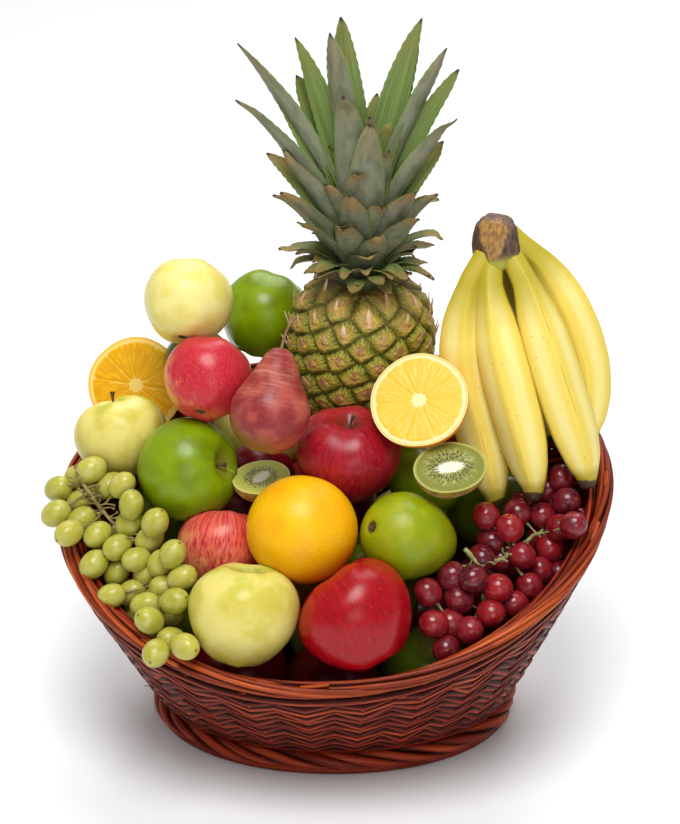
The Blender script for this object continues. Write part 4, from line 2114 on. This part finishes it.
@dataclass
class Crown:
    """The crown: long leaves above, short curled ones below, each with a folded middle and spines."""

    leaves: Sequence[tuple[Triple, float, float]]
    axis: tuple[float, float] = (21, 78)
    base: float = 0.3273
    radius: float = 0.022
    back_leaves: int = 8
    inner_leaves: int = 26
    skirt_leaves: int = 30
    twist: float = 0.55

    def specs(self) -> list[tuple[Vector, float, float]]:
        """Return the tip, the root's height and the width of every leaf."""
        golden = math.radians(137.5)
        specs = [(place(tip), root * MM, width * MM) for tip, root, width in self.leaves]
        axis = place((*self.axis, 0))
        for k in range(self.back_leaves):
            share = k / (self.back_leaves - 1)
            turn = math.radians(90) + math.radians(80) * math.sin(k * golden)
            reach = 0.042 + 0.022 * math.sin(math.pi * share)
            tip = axis + Vector((reach * math.cos(turn), reach * math.sin(turn), 0.340 + 0.170 * share))
            specs.append((tip, 0.330 + 0.064 * share, 0.019 + 0.008 * share))
        for k in range(self.inner_leaves):
            share = k / (self.inner_leaves - 1)
            turn = k * golden
            reach = 0.042 - 0.022 * share
            tip = axis + Vector((reach * math.cos(turn), reach * 0.9 * math.sin(turn), 0.350 + 0.125 * share))
            specs.append((tip, 0.331 + 0.066 * share, 0.023 + 0.003 * math.sin(k)))
        for k in range(self.skirt_leaves):
            turn = k * golden + 0.4
            reach = 0.047 + 0.010 * math.sin(k * 1.7)
            high = 0.339 + 0.010 * math.sin(k * 2.3)
            tip = axis + Vector((reach * math.cos(turn), reach * math.sin(turn), high))
            specs.append((tip, 0.3305, 0.015 + 0.002 * math.sin(k * 3.1)))
        return specs

    def leaf_points(
        self, root: Vector, tip: Vector, width: float, shape: tuple[int, int], number: int
    ) -> Rows:
        """Return the middle surface of one leaf, row by row from its root to its tip.

        Args:
            root: where it grows from the stem.
            tip: where it ends.
            width: its full width.
            shape: how many rows and columns of points it has.
            number: its number, which says how its edges wave and its tip curls.

        Returns:
            The points, one row for each station.
        """
        outward = Vector((tip.x - root.x, tip.y - root.y, 0))
        reach = outward.length
        way = outward.normalized()
        front = Vector((0.0, -1.0, 0.0))
        flat_on = (tip - root).normalized().cross(front).normalized()
        if way.dot(front) < 0:
            flat_on = -flat_on
        stands = tip.z - root.z > reach
        across = np.array(UP.cross(way).lerp(flat_on, self.twist if stands else 0.0).normalized())
        lift = (0.16 if stands else 0.42) * reach
        control = root + way * reach * 0.42 + UP * ((tip.z - root.z) * 0.5 + lift)
        share = np.linspace(0, 1, shape[0])
        t = share[:, None]
        start, bend, end = (np.array(spot) for spot in (root, control, tip))
        middle = start * (1 - t) ** 2 + bend * 2 * t * (1 - t) + end * t**2
        along = unit((bend - start) * (1 - t) + (end - bend) * t)
        outside = unit(np.cross(across, along))
        curl = 0.0035 * math.sin(number * 2.3) * ease(share, 0.84, 1.0) * (0.5 if tip.z > 0.5 else 1.0)
        middle = middle + outside * curl[:, None] - along * np.abs(curl)[:, None] * 0.5
        half = width / 2 * np.minimum(1.0, 0.62 + 1.6 * share) * (1.0 - share**3.2) ** 0.8 + 0.0003
        teeth = 0.0007 * (np.arange(shape[0]) % 2) * ease(share, 0.05, 0.2) * ease(1 - share, 0.0, 0.1)
        u = np.linspace(-1, 1, shape[1])
        fold = -0.42 * half[:, None] * (np.abs(u)[None] ** 1.4 - 0.4)
        wave = 0.0009 * np.sin(9 * share + number)[:, None] * u[None] ** 2 * np.sign(u)[None]
        spread = half[:, None] * u[None] + teeth[:, None] * np.sign(u)[None] * (np.abs(u)[None] > 0.99)
        return middle[:, None] + across * spread[..., None] + outside[:, None] * (fold + wave)[..., None]

    def build(self) -> None:
        """Make every leaf, and join them as one piece."""
        axis = place((*self.axis, 0))
        points = []
        faces = []
        owns = []
        outers = []
        ages = []
        start = 0
        columns = 7
        for number, (tip, root_height, width) in enumerate(self.specs()):
            way = Vector((tip.x - axis.x, tip.y - axis.y, 0)).normalized()
            core = self.radius - 0.15 * (root_height - self.base)
            root = axis + way * core * 0.6 + UP * root_height
            stations = 36 if (tip - root).length > 0.07 else 24
            sheet = self.leaf_points(root, tip, width, (stations, columns), number)
            outside = unit(np.cross(np.gradient(sheet, axis=1), np.gradient(sheet, axis=0)))
            thin = 0.0006 * (1 - 0.75 * np.abs(np.linspace(-1, 1, columns)) ** 2)[None, :, None]
            points.append(np.stack([sheet + outside * thin, sheet - outside * thin]).reshape(-1, 3))
            u, t = np.meshgrid(np.linspace(-1, 1, columns), np.linspace(0, 1, stations))
            one = np.column_stack([u.ravel(), t.ravel(), np.full(u.size, (number * 0.381) % 1.0)])
            owns.append(np.vstack([one, one]))
            outers.append(np.repeat((1.0, 0.0), u.size))
            ages.append(np.full(2 * u.size, (tip.z - 0.33) / 0.2))
            size = stations * columns
            for side in range(2):
                offset = start + side * size
                for row in range(stations - 1):
                    for column in range(columns - 1):
                        a = offset + row * columns + column
                        quad = (a, a + 1, a + 1 + columns, a + columns)
                        faces.append(quad if side == 0 else quad[::-1])
            for row in range(stations - 1):
                for column, flip in ((0, True), (columns - 1, False)):
                    a = start + row * columns + column
                    quad = (a, a + size, a + size + columns, a + columns)
                    faces.append(quad[::-1] if flip else quad)
            for row, flip in ((0, False), (stations - 1, True)):
                for column in range(columns - 1):
                    a = start + row * columns + column
                    quad = (a, a + size, a + size + 1, a + 1)
                    faces.append(quad[::-1] if flip else quad)
            start += 2 * size
        obj = mesh_piece("pineapple_leaves", np.vstack(points), faces)
        note(obj, "own", np.vstack(owns))
        note(obj, "outer", np.concatenate(outers))
        note(obj, "age", np.concatenate(ages))
        face_outward(obj)
        shade(obj, 60)
        hand_over(obj, [LeafSkin().build()], "pineapple_leaf", ["pineapple_crown"])
        self.build_core()

    def build_core(self) -> None:
        """Make the short stem that the leaves grow from."""
        axis = place((*self.axis, 0))
        height = np.linspace(self.base - 0.006, 0.412, 20)
        route = np.column_stack([np.full(20, axis.x), np.full(20, axis.y), height])
        thick = np.interp(height, (0.32, 0.332, 0.365, 0.405, 0.412), (0.017, 0.020, 0.014, 0.008, 0.003))
        finish = Woody("crown_core_finish", (0.03, 0.05, 0.012), (0.09, 0.12, 0.035))
        finished_rods("pineapple_core", [Rod(route, thick, thick)], 20, finish, "pineapple_leaf", degrees=50)


CROWN = Crown((
    ((-70, 78, 513), 372, 20), ((-72, 74, 474), 360, 19), ((-47, 84, 480), 366, 18),
    ((-28, 84, 516), 384, 22), ((-3, 66, 525), 398, 25), ((4, 90, 530), 400, 26),
    ((63, 86, 530), 392, 25), ((82, 76, 510), 380, 20), ((92, 80, 493), 372, 19),
    ((89, 66, 463), 364, 19), ((83, 80, 438), 356, 21), ((77, 72, 399), 344, 20),
    ((-50, 80, 429), 350, 18), ((-41, 70, 433), 352, 22), ((-46, 78, 398), 340, 18),
    ((-40, 64, 403), 342, 21), ((-29, 50, 382), 338, 20), ((7, 50, 486), 378, 28),
    ((26, 44, 463), 366, 27), ((11, 40, 409), 352, 24), ((6, 36, 388), 342, 23),
    ((34, 38, 377), 338, 21), ((60, 50, 410), 350, 24), ((63, 46, 391), 342, 21),
    ((-42, 70, 351), 334, 16), ((-36, 84, 335), 330, 15), ((-14, 34, 350), 331, 16),
    ((14, 28, 334), 329, 17), ((84, 74, 364), 336, 16), ((76, 84, 350), 332, 16),
    ((72, 66, 334), 329, 15), ((44, 34, 346), 331, 16),
))


@dataclass
class Studio:
    """The pale floor, the soft lights and the camera."""

    azimuth: float = 0.0
    elevation: float = math.radians(26.0)
    distance: float = 1.8
    target: Triple = (0.004, 0.0, 0.27)
    lens: float = 106.34
    shift: tuple[float, float] = (0.0070, -0.0243)
    floor_size: float = 14.0
    world_strength: float = 0.36
    aim: Triple = (0.0, -0.02, 0.2)

    def floor(self) -> None:
        """Lay the pale floor."""
        bpy.ops.object.select_all(action="DESELECT")
        bpy.ops.mesh.primitive_plane_add(size=self.floor_size, location=(0.0, 2.0, 0.0))
        obj = bpy.context.active_object
        obj.name = "studio_floor"
        only(obj)
        bpy.ops.object.transform_apply(location=True, rotation=True, scale=True)
        obj.data.materials.append(PaleFloor().build())
        obj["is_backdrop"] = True

    def lamp(self, name: str, where: Triple, size: float, power: float) -> None:
        """Hang one soft light that faces the fruit.

        Args:
            name: the light's name.
            where: its place.
            size: its width across.
            power: its power in watts.
        """
        data = bpy.data.lights.new(name, "AREA")
        data.shape = "DISK"
        data.size = size
        data.energy = power
        obj = bpy.data.objects.new(name, data)
        bpy.context.scene.collection.objects.link(obj)
        obj.location = where
        way = Vector(self.aim) - Vector(where)
        obj.rotation_euler = way.to_track_quat("-Z", "Y").to_euler()

    def camera(self) -> None:
        """Stand the camera at the photograph's viewing angle."""
        data = bpy.data.cameras.new("camera")
        data.lens = self.lens
        data.sensor_width = 36.0
        data.shift_x, data.shift_y = self.shift
        data.clip_end = 60.0
        obj = bpy.data.objects.new("camera", data)
        bpy.context.scene.collection.objects.link(obj)
        back = Vector((-math.sin(self.azimuth) * math.cos(self.elevation),
                       -math.cos(self.azimuth) * math.cos(self.elevation), math.sin(self.elevation)))
        obj.location = Vector(self.target) + back * self.distance
        obj.rotation_euler = (math.pi / 2 - self.elevation, 0.0, -self.azimuth)
        bpy.context.scene.camera = obj

    def build(self) -> None:
        """Set up the whole studio."""
        self.floor()
        self.lamp("key_light", (-0.05, -0.70, 2.00), 1.1, 32.0)
        self.lamp("front_light", (0.30, -2.40, 1.00), 1.4, 9.0)
        self.lamp("backdrop_light", (0.35, 1.90, 2.60), 2.6, 60.0)
        world = bpy.data.worlds.new("studio_world")
        world.use_nodes = True
        inputs = world.node_tree.nodes["Background"].inputs
        inputs["Color"].default_value = (1.0, 1.0, 1.0, 1.0)
        inputs["Strength"].default_value = self.world_strength
        bpy.context.scene.world = world
        bpy.context.scene.view_settings.view_transform = "Standard"
        self.camera()


def main() -> None:
    """Build the basket and its fruit in order, then the studio."""
    logging.basicConfig(level=logging.INFO, format="%(message)s")
    bpy.ops.object.select_all(action="DESELECT")
    Basket().build()
    whole = list(FRUIT) + lower_fruit()
    for fruit in whole:
        fruit.build()
    for half in HALVES:
        half.build()
    pieces = {item.node: item.piece for item in (*whole, *HALVES)}
    for name, others in PRESSED.items():
        press(pieces[name], [pieces[other] for other in others])
    for item in (*whole, *HALVES):
        item.dress()
    Pineapple().build()
    CROWN.build()
    BANANAS.build()
    GREEN_GRAPES.build()
    RED_GRAPES.build()
    Studio().build()
    boxes = {"cad": [list(corner) for corner in CAD_BOX], "visual": [list(corner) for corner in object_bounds()]}


if __name__ == "__main__":
    main()
